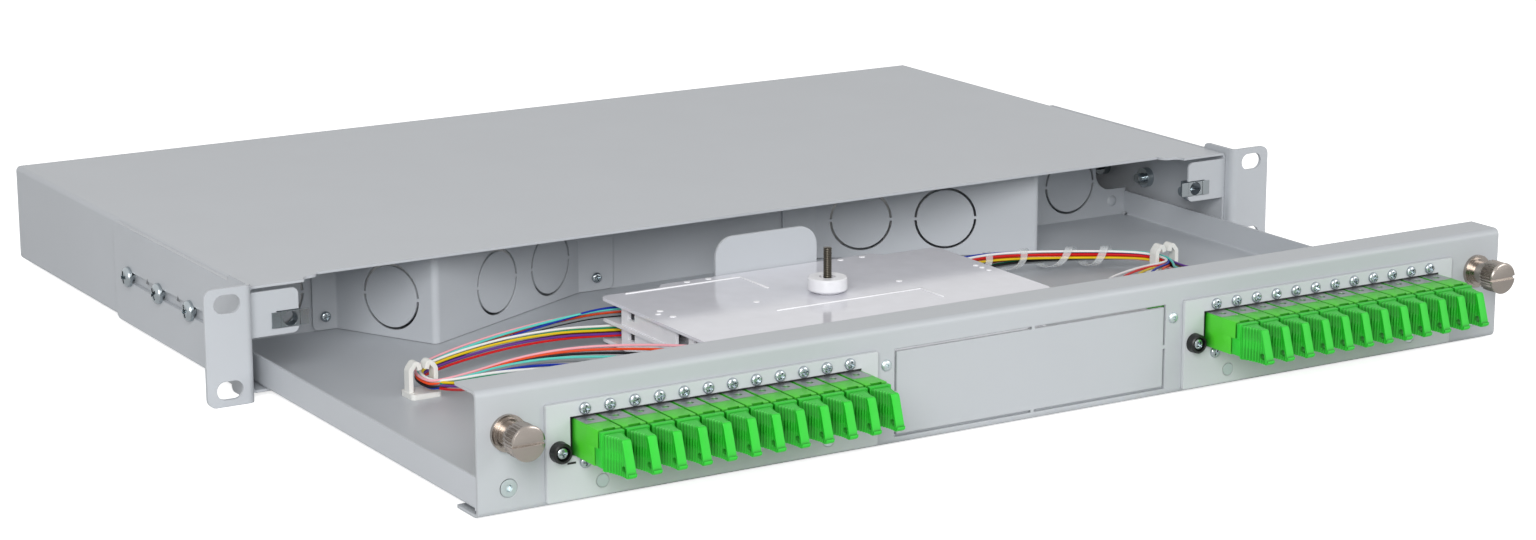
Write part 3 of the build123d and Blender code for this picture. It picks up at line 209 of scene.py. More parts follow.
def plated_metal(name, colour, roughness, size_mm, stretch=(1, 1, 1), edge_mm=0.12):
    """Plated steel or brass: a metal shader with a fine machined grain and uneven sheen."""
    material, tree, shader = new_material(name)
    set_sockets(shader, Metallic=1.0)
    place = mottled(tree, shader, colour, size_mm=6.0, spread=0.03)
    noise = grained(tree, shader, place, size_mm, 0.004, 0.1, edge_mm, stretch)
    spread = {"To Min": roughness - 0.04, "To Max": roughness + 0.06}
    sheen = add(tree, "ShaderNodeMapRange", spread, {"Value": noise.outputs["Fac"]})
    tree.links.new(sheen.outputs["Result"], shader.inputs["Roughness"])
    return material


def moulded_plastic(name, colour, roughness, edge_mm=0.2, shade_mm=0.0, **sockets):
    """Injection-moulded plastic: even colour, soft gloss and a very faint flow texture, with optional
    painted shade in crevices.
    """
    material, tree, shader = new_material(name)
    set_sockets(shader, Roughness=roughness, IOR=1.49, **sockets)
    set_sockets(shader, Subsurface_Radius=(1.0, 1.0, 1.0), Subsurface_Scale=1.0 * MM)
    place = mottled(tree, shader, colour, size_mm=9.0, spread=0.03)
    grained(tree, shader, place, size_mm=0.9, depth_mm=0.008, strength=0.2, edge_mm=edge_mm)
    if shade_mm:
        # Painted shade: near other surfaces the colour is blended towards a deep green, darkening crevices
        # and the gaps between parts where shade falls.
        surface = shader.inputs["Base Color"].links[0].from_socket
        gap = add(tree, "ShaderNodeAmbientOcclusion", {"Distance": shade_mm * MM}, samples=8)
        depth = add(tree, "ShaderNodeMath", {1: 1.6}, {0: gap.outputs["AO"]}, operation="POWER")
        blend = add(tree, "ShaderNodeMix", data_type="RGBA")
        factor, deep, plain = [socket for socket in blend.inputs if socket.enabled]
        tree.links.new(depth.outputs[0], factor)
        deep.default_value = (0.0, colour[1] * 0.25, 0.0, 1.0)
        tree.links.new(surface, plain)
        result = [socket for socket in blend.outputs if socket.enabled][0]
        tree.links.new(result, shader.inputs["Base Color"])
    return material


def placed(name, data):
    """A new object of the scene with the given data."""
    made = bpy.data.objects.new(name, data)
    bpy.context.scene.collection.objects.link(made)
    return made


def evaluated(made, *helpers):
    """The plain mesh of an object as it is drawn; the object and its helpers are removed."""
    graph = bpy.context.evaluated_depsgraph_get()
    mesh = bpy.data.meshes.new_from_object(made.evaluated_get(graph))
    for spent in (made, *helpers):
        bpy.data.objects.remove(spent)
    return mesh


def piece(name, mesh, finish, replaces=(), body="drawer"):
    """Links a finished mesh at the origin, and gives it its body, finish and slot."""
    made = placed(name, mesh)
    made.data.materials.clear()
    made.data.materials.append(finishes[finish])
    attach(made, body)
    if replaces:
        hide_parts(*replaces)
    return made


def to_mesh(bm, name):
    """Moves a bmesh into a new mesh."""
    mesh = bpy.data.meshes.new(name)
    bm.to_mesh(mesh)
    bm.free()
    return mesh


def finish_mesh(bm, name, smooth_deg=35.0):
    """Closes a bmesh into a mesh with smooth faces and sharp edges past the angle."""
    bmesh.ops.remove_doubles(bm, verts=bm.verts, dist=1e-6)
    bmesh.ops.recalc_face_normals(bm, faces=bm.faces)
    for face in bm.faces:
        face.smooth = True
    for edge in bm.edges:
        if len(edge.link_faces) == 2 and edge.calc_face_angle() > math.radians(smooth_deg):
            edge.smooth = False
    return to_mesh(bm, name)


def loft(bm, rings):
    """Walls between rings of points, closed at both ends."""
    made = [[bm.verts.new(point) for point in ring] for ring in rings]
    for first, second in zip(made, made[1:]):
        for i in range(len(first)):
            j = (i + 1) % len(first)
            bm.faces.new((first[i], first[j], second[j], second[i]))
    bm.faces.new(list(reversed(made[0])))
    bm.faces.new(made[-1])


def turned(bm, profile, matrix, segments, ripple=None):
    """A closed turned form: (height, radius) pairs along the local Z axis."""
    rings = []
    for height, radius in profile:
        ring = []
        for i in range(segments):
            angle = 2 * math.pi * i / segments
            r = radius + (ripple(height, radius, angle) if ripple else 0.0)
            ring.append(matrix @ Vector((r * math.cos(angle), r * math.sin(angle), height)))
        rings.append(ring)
    loft(bm, rings)


def to_rear(x, y, z):
    """A frame at a point with its Z axis to the rear, for forms turned on the front."""
    return Matrix.Translation((x, y, z)) @ Matrix.Rotation(math.radians(-90), 4, "X")


def block(bm, low, high, edge=0.0):
    """A box between two corners in metres, with its edges rounded."""
    made = bmesh.ops.create_cube(bm, size=1.0)["verts"]
    middle = (Vector(low) + Vector(high)) / 2
    lengths = Vector(high) - Vector(low)
    for vert in made:
        vert.co = Vector([c * s for c, s in zip(vert.co, lengths)]) + middle
    if edge:
        edges = list(dict.fromkeys(e for v in made for e in v.link_edges))
        bmesh.ops.bevel(bm, geom=edges, offset=edge, segments=2, affect="EDGES", profile=0.5)


def cut(solid, cutter, name, smooth_deg=35.0):
    """The first bmesh with the second one taken away, as a finished mesh."""
    kept = placed("kept", finish_mesh(solid, name + "_solid", smooth_deg))
    tool = placed("tool", to_mesh(cutter, name + "_cutter"))
    modifier = kept.modifiers.new("cut", "BOOLEAN")
    modifier.object = tool
    modifier.solver = "EXACT"
    modifier.use_self = True
    bm = bmesh.new()
    bm.from_mesh(evaluated(kept, tool))
    return finish_mesh(bm, name)


def screw_mesh(name, sizes_mm, axis):
    """A pan-head screw with a cross recess, its head along axis from the seat at the origin.

    The sizes are the radius and height of the head, and the radius and length of the shank.
    """
    head_radius, head_height, shank_radius, shank_length = (size * MM for size in sizes_mm)
    turn = Vector((0, 0, 1)).rotation_difference(Vector(axis)).to_matrix().to_4x4()
    rim, flat, steps = 0.35, 0.3, 6
    dome = [(0.0, head_radius), (rim * head_height, head_radius)]
    for i in range(1, steps):
        angle = math.pi / 2 * i / steps
        height = head_height * (rim + (1 - rim) * math.sin(angle))
        dome.append((height, head_radius * (flat + (1 - flat) * math.cos(angle))))
    dome.append((head_height, head_radius * flat))
    bm = bmesh.new()
    turned(bm, [(-shank_length, shank_radius), (0.0, shank_radius)] + dome, turn, 20)
    cross = bmesh.new()
    arm, half = head_radius * 0.6, head_radius * 0.16
    for x, y in ((arm, half), (half, arm)):
        block(cross, (-x, -y, head_height * 0.15), (x, y, head_height * 1.5))
    bmesh.ops.transform(cross, matrix=turn, verts=cross.verts)
    return cut(bm, cross, name)


def repeated(name, template, places, spin_axis, seed, material):
    """Copies of a template mesh on points, each turned about an axis by a seeded amount."""
    points = bpy.data.meshes.new(name + "_points")
    points.from_pydata([tuple(place) for place in places], [], [])
    holder = placed(name + "_holder", points)
    model = placed(name + "_model", template)
    tree = bpy.data.node_groups.new(name, "GeometryNodeTree")
    tree.interface.new_socket(name="Points", in_out="INPUT", socket_type="NodeSocketGeometry")
    settings = {}
    for label, kind, value in (
        ("Shape", "NodeSocketObject", model),
        ("Scale", "NodeSocketFloat", 1.0),
        ("Spin Axis", "NodeSocketVector", spin_axis),
        ("Seed", "NodeSocketInt", seed),
        ("Finish", "NodeSocketMaterial", material),
    ):
        socket = tree.interface.new_socket(name=label, in_out="INPUT", socket_type=kind)
        settings[socket.identifier] = value
    tree.interface.new_socket(name="Geometry", in_out="OUTPUT", socket_type="NodeSocketGeometry")
    given = add(tree, "NodeGroupInput")
    shape = add(tree, "GeometryNodeObjectInfo", links={"Object": given.outputs["Shape"]})
    chance = add(tree, "FunctionNodeRandomValue", links={"Seed": given.outputs["Seed"]}, data_type="FLOAT")
    low, high = [socket for socket in chance.inputs if socket.enabled and socket.name in ("Min", "Max")]
    low.default_value = 0.0
    high.default_value = math.pi / 2
    spin = add(tree, "ShaderNodeVectorMath", links={"Vector": given.outputs["Spin Axis"]}, operation="SCALE")
    amount = [socket for socket in chance.outputs if socket.enabled][0]
    tree.links.new(amount, spin.inputs["Scale"])
    copies = add(
        tree,
        "GeometryNodeInstanceOnPoints",
        links={
            "Points": given.outputs["Points"],
            "Instance": shape.outputs["Geometry"],
            "Rotation": spin.outputs["Vector"],
            "Scale": given.outputs["Scale"],
        },
    )
    real = add(tree, "GeometryNodeRealizeInstances", links={"Geometry": copies.outputs["Instances"]})
    dressed = add(
        tree,
        "GeometryNodeSetMaterial",
        links={"Geometry": real.outputs["Geometry"], "Material": given.outputs["Finish"]},
    )
    add(tree, "NodeGroupOutput", links={"Geometry": dressed.outputs["Geometry"]})
    modifier = holder.modifiers.new("Repeat", "NODES")
    modifier.node_group = tree
    for identifier, value in settings.items():
        modifier[identifier] = value
    mesh = evaluated(holder, model)
    mesh.name = name
    return mesh


def piece_set(name, template, places, spin_axis, seed, finish, replaces, body="drawer"):
    """Copies of a template mesh as one piece."""
    mesh = repeated(name, template, places, spin_axis, seed, finishes[finish])
    piece(name, mesh, finish, replaces, body)


def node_middle(name):
    """The middle of a CAD node's box."""
    low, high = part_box(name)
    return (Vector(low) + Vector(high)) / 2


def solid_middles(name):
    """The middle and the lengths of each separate solid of a CAD node."""
    bm = bmesh.new()
    bm.from_mesh(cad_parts[name].data)
    bmesh.ops.remove_doubles(bm, verts=bm.verts, dist=1e-6)
    middles = []
    seen = set()
    for start in bm.verts:
        if start in seen:
            continue
        seen.add(start)
        group = [start]
        for vert in group:
            for edge in vert.link_edges:
                other = edge.other_vert(vert)
                if other not in seen:
                    seen.add(other)
                    group.append(other)
        spans = [(min(v.co[i] for v in group), max(v.co[i] for v in group)) for i in range(3)]
        middles.append((Vector([sum(s) / 2 for s in spans]), Vector([s[1] - s[0] for s in spans])))
    bm.free()
    return middles


# Powder coats: name, colour, and the radius of the edges in millimetres.
COATS = {
    # The front sheet and the plates have the same coat with softer edges; the sheet's colour is a little
    # darker as painted shade.
    "front": ("front_sheet_powder_coat", "B0B4B8", 0.6),
    "plate": ("adapter_plate_powder_coat", "BEC2C5", 0.9),
    # The bottom of a stamped mark lies in its own shade, so its dark colour is painted shade.
    "stamp": ("stamped_powder_coat", "5E6266"),
}
# Metals: name, colour, roughness, size of the grain in millimetres, and how far it is stretched.
METALS = {
    # Bright zinc mirrors the room in small clear spots.
    "zinc": ("bright_zinc_plated_steel", "AEB6BA", 0.22, 0.5),
    # The spring clips are rolled strip, so they are duller and more even than the screws.
    "spring": ("rolled_spring_steel", "A6A9AB", 0.4, 0.8),
    # The flush screws and studs have a dull passivated zinc, paler than the paint round them.
    "pale": ("dull_zinc_plated_steel", "C6D0D2", 0.4, 0.8),
    # The turned grip shows rings round its axis, so the grain is stretched along the turning.
    "nickel": ("nickel_plated_brass", "A79F98", 0.2, 0.5, (1, 6, 1)),
    # The thread of the stud is coloured dark as painted shade, because its flanks mostly mirror each other.
    "stud": ("dark_zinc_plated_steel", "4A463F", 0.34, 0.4),
}
# Plastics: name, colour, roughness and other settings.
PLASTICS = {
    # Polyamide has a satin skin that keeps its black deep; the same black serves as painted shade in the
    # gaps round the adapter rows.
    "black": ("black_polyamide_and_painted_shade", "0C0C0C", 0.4, {}),
    # The soft plastic of the caps lets a little light in, which softens their edges; the dark gaps between
    # the caps are painted shade.
    "cap": ("green_cap_polyethylene_with_painted_shade", "1EBE26", 0.46, {"shade_mm": 7.0, "Subsurface_Weight": 0.03}),
    # The raised ribs are coloured lighter than the lid as a painted highlight, for the light they catch.
    "relief": ("white_styrene_painted_highlight", "F2F2F5", 0.25, {"Subsurface_Weight": 0.05}),
    # The lid is moulded against a polished tool and mirrors the nut, so it has a clear top layer.
    "lid": (
        "white_styrene_polished",
        "E0E0E7",
        0.12,
        {"Subsurface_Weight": 0.05, "Coat_Weight": 0.08, "Coat_Roughness": 0.03},
    ),
    # Uncoloured polyamide is milky, so light spreads in it.
    "clip": ("natural_polyamide", "E4E4E0", 0.4, {"Subsurface_Weight": 0.3}),
    # The strip is clear, with a milky edge, so most of the light goes straight through.
    "wrap": ("clear_polyethylene_strip", "EEF2F4", 0.15, {"Alpha": 0.3}),
    # Ink is flat and even.
    "print": ("black_printing_ink", "0C0C0C", 0.5, {"edge_mm": 0.0}),
    # A shrunk sleeve is clear enough to show the splice.
    "sleeve": ("clear_shrink_sleeve", "DDE6EC", 0.2, {"Transmission_Weight": 0.7}),
}
# Finishes of the CAD nodes that are shown as they are.
DRESSED = {
    "paint": "case_shell left_ear right_ear drawer_tray cable_entries cassette_bracket",
    "front": "front_panel",
    "plate": "adapter_plates",
    "spring": "adapter_clips",
    "pale": "plate_studs",
    "zinc": "cage_nuts ear_nuts left_retaining_ring right_retaining_ring",
    "nickel": "ferrules",
    "green": "connectors",
    "white": "lower_cassette upper_cassette cassette_nut",
    "lid": "cassette_lid",
    "clip": "fibre_clips",
    "sleeve": "splice_sleeves",
}


class SPLICEBOX_OT_finishes(bpy.types.Operator):
    """Make the finishes and put them on the sheet metal, fasteners and plastics"""

    bl_idname = "splicebox.finishes"
    bl_label = "Finishes"

    def execute(self, context):
        colours = context.scene.splicebox_colours
        paint, green, white = (tuple(colour) for colour in (colours.paint, colours.green, colours.white))
        finishes["paint"] = powder_coat("light_grey_powder_coat", paint)
        # The adapters let a little light in and get painted shade in their crevices, and styrene is glossy
        # and a little milky.
        finishes["green"] = moulded_plastic(
            "green_polyester_moulding_with_painted_shade", green, 0.42, shade_mm=3.0, Subsurface_Weight=0.03
        )
        finishes["white"] = moulded_plastic("white_styrene", white, 0.24, Subsurface_Weight=0.1)
        for key, (name, code, *rest) in COATS.items():
            finishes[key] = powder_coat(name, linear(code), *rest)
        for key, (name, code, *rest) in METALS.items():
            finishes[key] = plated_metal(name, linear(code), *rest)
        for key, (name, code, roughness, rest) in PLASTICS.items():
            finishes[key] = moulded_plastic(name, linear(code), roughness, **rest)
        for key, names in DRESSED.items():
            for name in names.split():
                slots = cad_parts[name].data.materials
                slots.clear()
                slots.append(finishes[key])
        return {"FINISHED"}


# Middle of each bundle in millimetres, from the front of its clip into the cassettes.
LEFT_TRUNK = (
    (-171.5, -45.0, -12.6),
    (-174.5, -37.0, -12.2),
    (-172.0, -27.0, -11.8),
    (-162.0, -21.5, -11.2),
    (-147.0, -16.0, -10.4),
    (-126.4, -11.0, -9.4),
    (-103.4, -8.5, -8.8),
    (-86.4, -10.0, -8.4),
    (-76.5, -13.5, -8.4),
)
RIGHT_TRUNK = (
    (159.0, -41.0, -11.4),
    (162.0, -33.0, -11.4),
    (159.5, -23.0, -11.4),
    (149.0, -15.0, -11.4),
    (133.0, -9.0, -11.0),
    (109.6, -4.0, -10.0),
    (88.6, -5.5, -9.0),
    (66.6, -13.0, -8.4),
    (59.0, -17.5, -8.4),
)
# How far apart the fibres lie at each point of the bundle, and how far they have split into two layers.
BUNDLE_SPREAD = (0.8, 0.8, 0.85, 0.95, 1.0, 1.05, 1.05, 1.0, 1.0)
LAYER_SHARE = (0.0, 0.0, 0.02, 0.06, 0.14, 0.32, 0.62, 1.0, 1.0)
# Fibres lie in four columns of three, the next column half a step higher or lower, in millimetres.
COLUMN_STEP, LAYER_STEP = 1.05, 1.4
# Heights of the top fibre of the upper and the lower layer where they enter the cassettes.
UPPER_ENTRY, LOWER_ENTRY = -3.0, -9.9
ENTRY_STEP = 0.72
ENTRY_RANK = (5, 4, 2, 3, 1, 0, 0, 4, 1, 5, 3, 2)
# Two points on the way of the fibre nearest to the clip, and two for the farthest one.
LEFT_FAN = (
    ((-171.0, -62.0, -10.0), (-177.0, -85.0, -3.0)),
    ((-130.0, -47.0, -4.0), (-95.0, -72.0, -1.5)),
)
RIGHT_FAN = (
    ((163.0, -58.0, -10.0), (177.0, -85.0, -3.0)),
    ((134.0, -50.0, -7.5), (101.0, -70.0, -4.5)),
)
FIBRE_COLOURS = {
    "red": "D0181C",
    "black": "16161A",
    "turquoise": "5FC9BC",
    "white": "E8E8E8",
    "blue": "16309A",
    "green": "168A62",
    "violet": "6A3A94",
    "brown": "6B2A22",
    "pink": "E8A6B0",
    "yellow": "E0C01C",
    "grey": "7C8082",
    "orange": "E04A20",
}
LEFT_ORDER = "red violet yellow brown green white blue grey turquoise black orange pink".split()
RIGHT_ORDER = "grey green violet black brown turquoise pink orange blue yellow red white".split()


class SPLICEBOX_OT_fibres(bpy.types.Operator):
    """Lay the coloured pigtail fibres from the boots through the clips to the cassettes"""

    bl_idname = "splicebox.fibres"
    bl_label = "Pigtail fibres"

    def execute(self, context):
        # A thin coat on a round thread shows little gloss, which keeps the dark colours deep.
        coats = {
            name: moulded_plastic(
                f"{name}_acrylate_coating", linear(code), 0.45, edge_mm=0.0, Specular_IOR_Level=0.2
            )
            for name, code in FIBRE_COLOURS.items()
        }
        boots = sorted(boot.x for boot, _ in solid_middles("connectors"))
        left_row = boots[:ADAPTERS_PER_ROW]
        right_row = boots[:-ADAPTERS_PER_ROW - 1:-1]
        for side, trunk, fan, row, order in (
            ("left", LEFT_TRUNK, LEFT_FAN, left_row, LEFT_ORDER),
            ("right", RIGHT_TRUNK, RIGHT_FAN, right_row, RIGHT_ORDER),
        ):
            for number, x in enumerate(row):
                points = self.route(number, x, trunk, fan)
                fibre = self.lay(context, f"{side}_fibre_{number + 1}", points, coats[order[number]])
                if number == 0:
                    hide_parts(f"{side}_pigtails")
        return {"FINISHED"}

    def route(self, number, x, trunk, fan):
        """Points of one fibre: boot, fan and its own lane along the trunk."""
        low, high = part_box("connectors")
        boot = Vector((x, high[1], (low[2] + high[2]) / 2))
        behind = boot + mm_vector((0, 12, 0))
        share = number / (ADAPTERS_PER_ROW - 1)
        first, second = (mm_vector(a).lerp(mm_vector(b), share) for a, b in zip(*fan))
        lane = []
        middle = [mm_vector(point) for point in trunk]
        headings = [(b - a).normalized() for a, b in zip(middle, middle[1:])]
        headings.append(headings[-1])
        column = 1.5 - number // 3
        layer = number % 3 - 1 + (number // 3 % 2 - 0.5) / 2
        entry = UPPER_ENTRY if number >= ADAPTERS_PER_ROW / 2 else LOWER_ENTRY
        entry -= ENTRY_STEP * ENTRY_RANK[number]
        for place, heading, spread, split in zip(middle, headings, BUNDLE_SPREAD, LAYER_SHARE):
            across = heading.cross(Vector((0, 0, 1)))
            height = (place.z + layer * spread * LAYER_STEP * MM) * (1 - split) + entry * MM * split
            spot = place + across * column * spread * COLUMN_STEP * MM
            lane.append(Vector((spot.x, spot.y, height)))
        return [boot, behind, second, first] + lane

    def lay(self, context, name, points, coat):
        """One fibre as a smooth curve."""
        diameter = context.scene.splicebox_sizes.fibre_diameter
        curve = bpy.data.curves.new(name, "CURVE")
        curve.dimensions = "3D"
        curve.bevel_depth = diameter / 2
        curve.bevel_resolution = 2
        curve.resolution_u = 8
        curve.use_fill_caps = True
        spline = curve.splines.new("NURBS")
        spline.points.add(len(points) - 1)
        for control, point in zip(spline.points, points):
            control.co = (*point, 1.0)
        spline.order_u = 3
        spline.use_endpoint_u = True
        fibre = placed(name, curve)
        curve.materials.append(coat)
        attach(fibre, "drawer")
        return fibre


class SPLICEBOX_OT_spiral_wrap(bpy.types.Operator):
    """Wind the clear strip round the right bundle"""

    bl_idname = "splicebox.spiral_wrap"
    bl_label = "Spiral wrap"

    def execute(self, context):
        width = context.scene.splicebox_sizes.wrap_width
        middle = [mm_vector(point) for point in RIGHT_TRUNK[3:7]]
        radius, thickness = 3.7 * MM, 0.3 * MM
        # The bundle is wider than it is high, and so is the coil round it.
        wider = 1.5
        turns = 3.5
        steps = 120
        rings = []
        for i in range(steps + 1):
            t = i / steps * (len(middle) - 1)
            k = min(int(t), len(middle) - 2)
            place = middle[k].lerp(middle[k + 1], t - k)
            heading = (middle[k + 1] - middle[k]).normalized()
            across = heading.cross(Vector((0, 0, 1))).normalized()
            angle = 2 * math.pi * turns * i / steps
            out = across * math.cos(angle) * wider + Vector((0, 0, 1)) * math.sin(angle)
            half = heading * width / 2
            inner, outer = place + out * radius, place + out * (radius + thickness)
            rings.append((inner - half, inner + half, outer + half, outer - half))
        bm = bmesh.new()
        loft(bm, rings)
        piece("spiral_wrap", finish_mesh(bm, "spiral_wrap"), "wrap")
        return {"FINISHED"}


class SPLICEBOX_OT_thumbscrews(bpy.types.Operator):
    """Turn the knurled thumbscrews and wind their springs"""

    bl_idname = "splicebox.thumbscrews"
    bl_label = "Thumbscrews"

    def execute(self, context):
        teeth = context.scene.splicebox_sizes.knurl_teeth
        for side in ("left", "right"):
            low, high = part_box(f"{side}_thumbscrew")
            front, tip = low[1], high[1]
            middle = Vector(((low[0] + high[0]) / 2, 0, (low[2] + high[2]) / 2))
            radius = (high[0] - low[0]) / 2
            axis = to_rear(*middle)
            disc = front + 1.1 * MM
            back = front + 8.5 * MM
            grip = radius - 0.1 * MM
            tooth = 0.8 * MM
            bore, bore_end = 4.4 * MM, back - 6.0 * MM
            shank = 2.5 * MM

            def knurl(height, radius, angle):
                if radius < grip or not disc + 0.1 * MM < height < back - 0.85 * MM:
                    return 0.0
                phase = angle * teeth / (2 * math.pi) % 1.0
                return -tooth * abs(2 * phase - 1)

            profile = [
                (front, radius - 0.8 * MM),
                (front + 0.25 * MM, radius - 0.25 * MM),
                (front + 0.6 * MM, radius),
                (disc, radius),
                (disc + 0.2 * MM, grip),
                (back - 0.9 * MM, grip),
                (back - 0.8 * MM, grip - 1.0 * MM),
                (back, grip - 1.2 * MM),
                (back, bore),
                (bore_end + 0.1 * MM, bore),
                (bore_end, shank),
                (tip - 0.6 * MM, shank),
                (tip, shank - 0.6 * MM),
            ]
            bm = bmesh.new()
            turned(bm, profile, axis, teeth * 4, knurl)
            slot = bmesh.new()
            slot_half, slot_depth = 0.65 * MM, 1.2 * MM
            block(
                slot,
                (middle.x - 2 * radius, front - 1 * MM, middle.z - slot_half),
                (middle.x + 2 * radius, front + slot_depth, middle.z + slot_half),
            )
            knob = cut(bm, slot, f"{side}_knob", 28.0)
            piece(f"{side}_knob", knob, "nickel", [f"{side}_thumbscrew"], f"{side}_thumbscrew")
            self.wind_spring(side)
        return {"FINISHED"}

    def wind_spring(self, side):
        """A coil of round wire in the place of the plain spring tube."""
        low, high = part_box(f"{side}_spring")
        wire = 0.22 * MM
        radius = (high[0] - low[0]) / 2 - wire
        middle = ((low[0] + high[0]) / 2, (low[2] + high[2]) / 2)
        turns = 5.0
        curve = bpy.data.curves.new(f"{side}_coil", "CURVE")
        curve.dimensions = "3D"
        curve.bevel_depth = wire
        curve.bevel_resolution = 1
        curve.use_fill_caps = True
        spline = curve.splines.new("POLY")
        steps = 100
        spline.points.add(steps)
        for i in range(steps + 1):
            angle = 2 * math.pi * turns * i / steps
            y = low[1] + wire + (high[1] - low[1] - 2 * wire) * i / steps
            place = (middle[0] + radius * math.cos(angle), y, middle[1] + radius * math.sin(angle))
            spline.points[i].co = (*place, 1.0)
        mesh = evaluated(placed("coil", curve))
        coil = piece(f"{side}_coil", mesh, "zinc", [f"{side}_spring"])
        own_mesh(coil)


class SPLICEBOX_OT_dust_caps(bpy.types.Operator):
    """Mould the ribbed dust caps"""

    bl_idname = "splicebox.dust_caps"
    bl_label = "Dust caps"

    def execute(self, context):
        ribs = context.scene.splicebox_sizes.cap_ribs
        low, high = (Vector(corner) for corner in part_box("left_dust_cap_1"))
        centre = (low.x + high.x) / 2
        pattern = self.cap_mesh(low, high, centre, ribs)
        for side in ("left", "right"):
            for number in range(1, ADAPTERS_PER_ROW + 1):
                name = f"{side}_dust_cap_{number}"
                mesh = pattern.copy()
                mesh.transform(Matrix.Translation((node_middle(name).x - centre, 0, 0)))
                piece(f"{name}_moulded", mesh, "cap", [name], name)
        return {"FINISHED"}

    def cap_mesh(self, low, high, x, ribs):
        """A cap at x: plug, stepped collar, and a ribbed fin with an eye through its foot."""
        tip, inner_end = low.y, high.y
        seat = inner_end - 10.0 * MM
        collar_front = seat - 2.5 * MM
        z = 1.6 * MM
        top, bottom = z + 5.4 * MM, low.z
        plug_half, plug_height = 3.4 * MM, 4.35 * MM
        collar_half, collar_height = 4.25 * MM, 5.95 * MM
        bm = bmesh.new()
        for half, y0, y1, z0, z1 in (
            (plug_half, seat - 0.5 * MM, inner_end, z - plug_height, z + plug_height),
            (collar_half, collar_front, seat - 0.35 * MM, z, z + collar_height),
            (collar_half, collar_front, seat + 2.1 * MM, z - collar_height, z + 0.5 * MM),
        ):
            block(bm, (x - half, y0, z0), (x + half, y1, z1), 0.4 * MM)
        self.fin(bm, x, tip, collar_front, top, bottom, ribs)
        drill = bmesh.new()
        eye, reach = 1.25 * MM, 6 * MM
        middle = Matrix.Translation((x, tip + 3.3 * MM, bottom + 2.8 * MM))
        turned(drill, [(-reach, eye), (reach, eye)], middle @ Matrix.Rotation(math.radians(90), 4, "Y"), 18)
        return cut(bm, drill, "cap_pattern", 32.0)

    def fin(self, bm, x, tip, root, top, bottom, ribs):
        """Sections along Y: the fin narrows forward, and upright ribs run behind its smooth front band."""
        lean = 3.9 * MM
        corner = tip + lean
        band = 1.3 * MM
        blend = 0.4 * MM
        foot = 1.8 * MM
        start = root + 0.4 * MM
        tip_half, root_more = 1.6 * MM, 2.2 * MM
        groove, rib = 0.15 * MM, 0.75 * MM
        level_steps, front_steps = 84, 36
        places = [start + (corner - start) * i / level_steps for i in range(level_steps)]
        places += [corner + (tip - corner) * i / front_steps for i in range(front_steps + 1)]
        heights = (0.0, 0.03, 0.1, 0.3, 0.42, 0.58, 0.7, 0.9, 0.97, 1.0)
        rings = []
        for y in places:
            reach = y - tip
            # The top runs level and then down the leaning front, with a soft corner between them.
            front_line = bottom + (top - bottom) * reach / lean
            high_z = -blend * math.log(math.exp(-top / blend) + math.exp(-front_line / blend))
            low_z = bottom
            if reach < foot:
                low_z = bottom + foot - math.sqrt(max(0.0, foot**2 - (foot - reach) ** 2))
            high_z = max(high_z, low_z + 0.15 * MM)
            along = min(1.0, max(0.0, (root - y) / (root - corner)))
            half = tip_half + root_more * (1 - along) ** 1.6
            wave = 0.5 + 0.5 * math.cos(2 * math.pi * ribs * (root - y) / (root - tip))
            side = []
            for share in heights:
                z = high_z + (low_z - high_z) * share
                behind = reach - lean * (z - bottom) / (top - bottom)
                sunk = min(1.0, max(0.0, behind / band - 0.6)) if y < root - 0.3 * MM else 0.0
                grip = 0.35 if 0.35 < share < 0.65 else 1.0
                edge = 0.3 * MM if share in (0.0, 1.0) else 0.0
                side.append((half - edge - sunk * (groove + rib * wave * grip), z))
            outline = side + [(-dx, z) for dx, z in reversed(side)]
            rings.append([(x + dx, y, z) for dx, z in outline])
        loft(bm, rings)


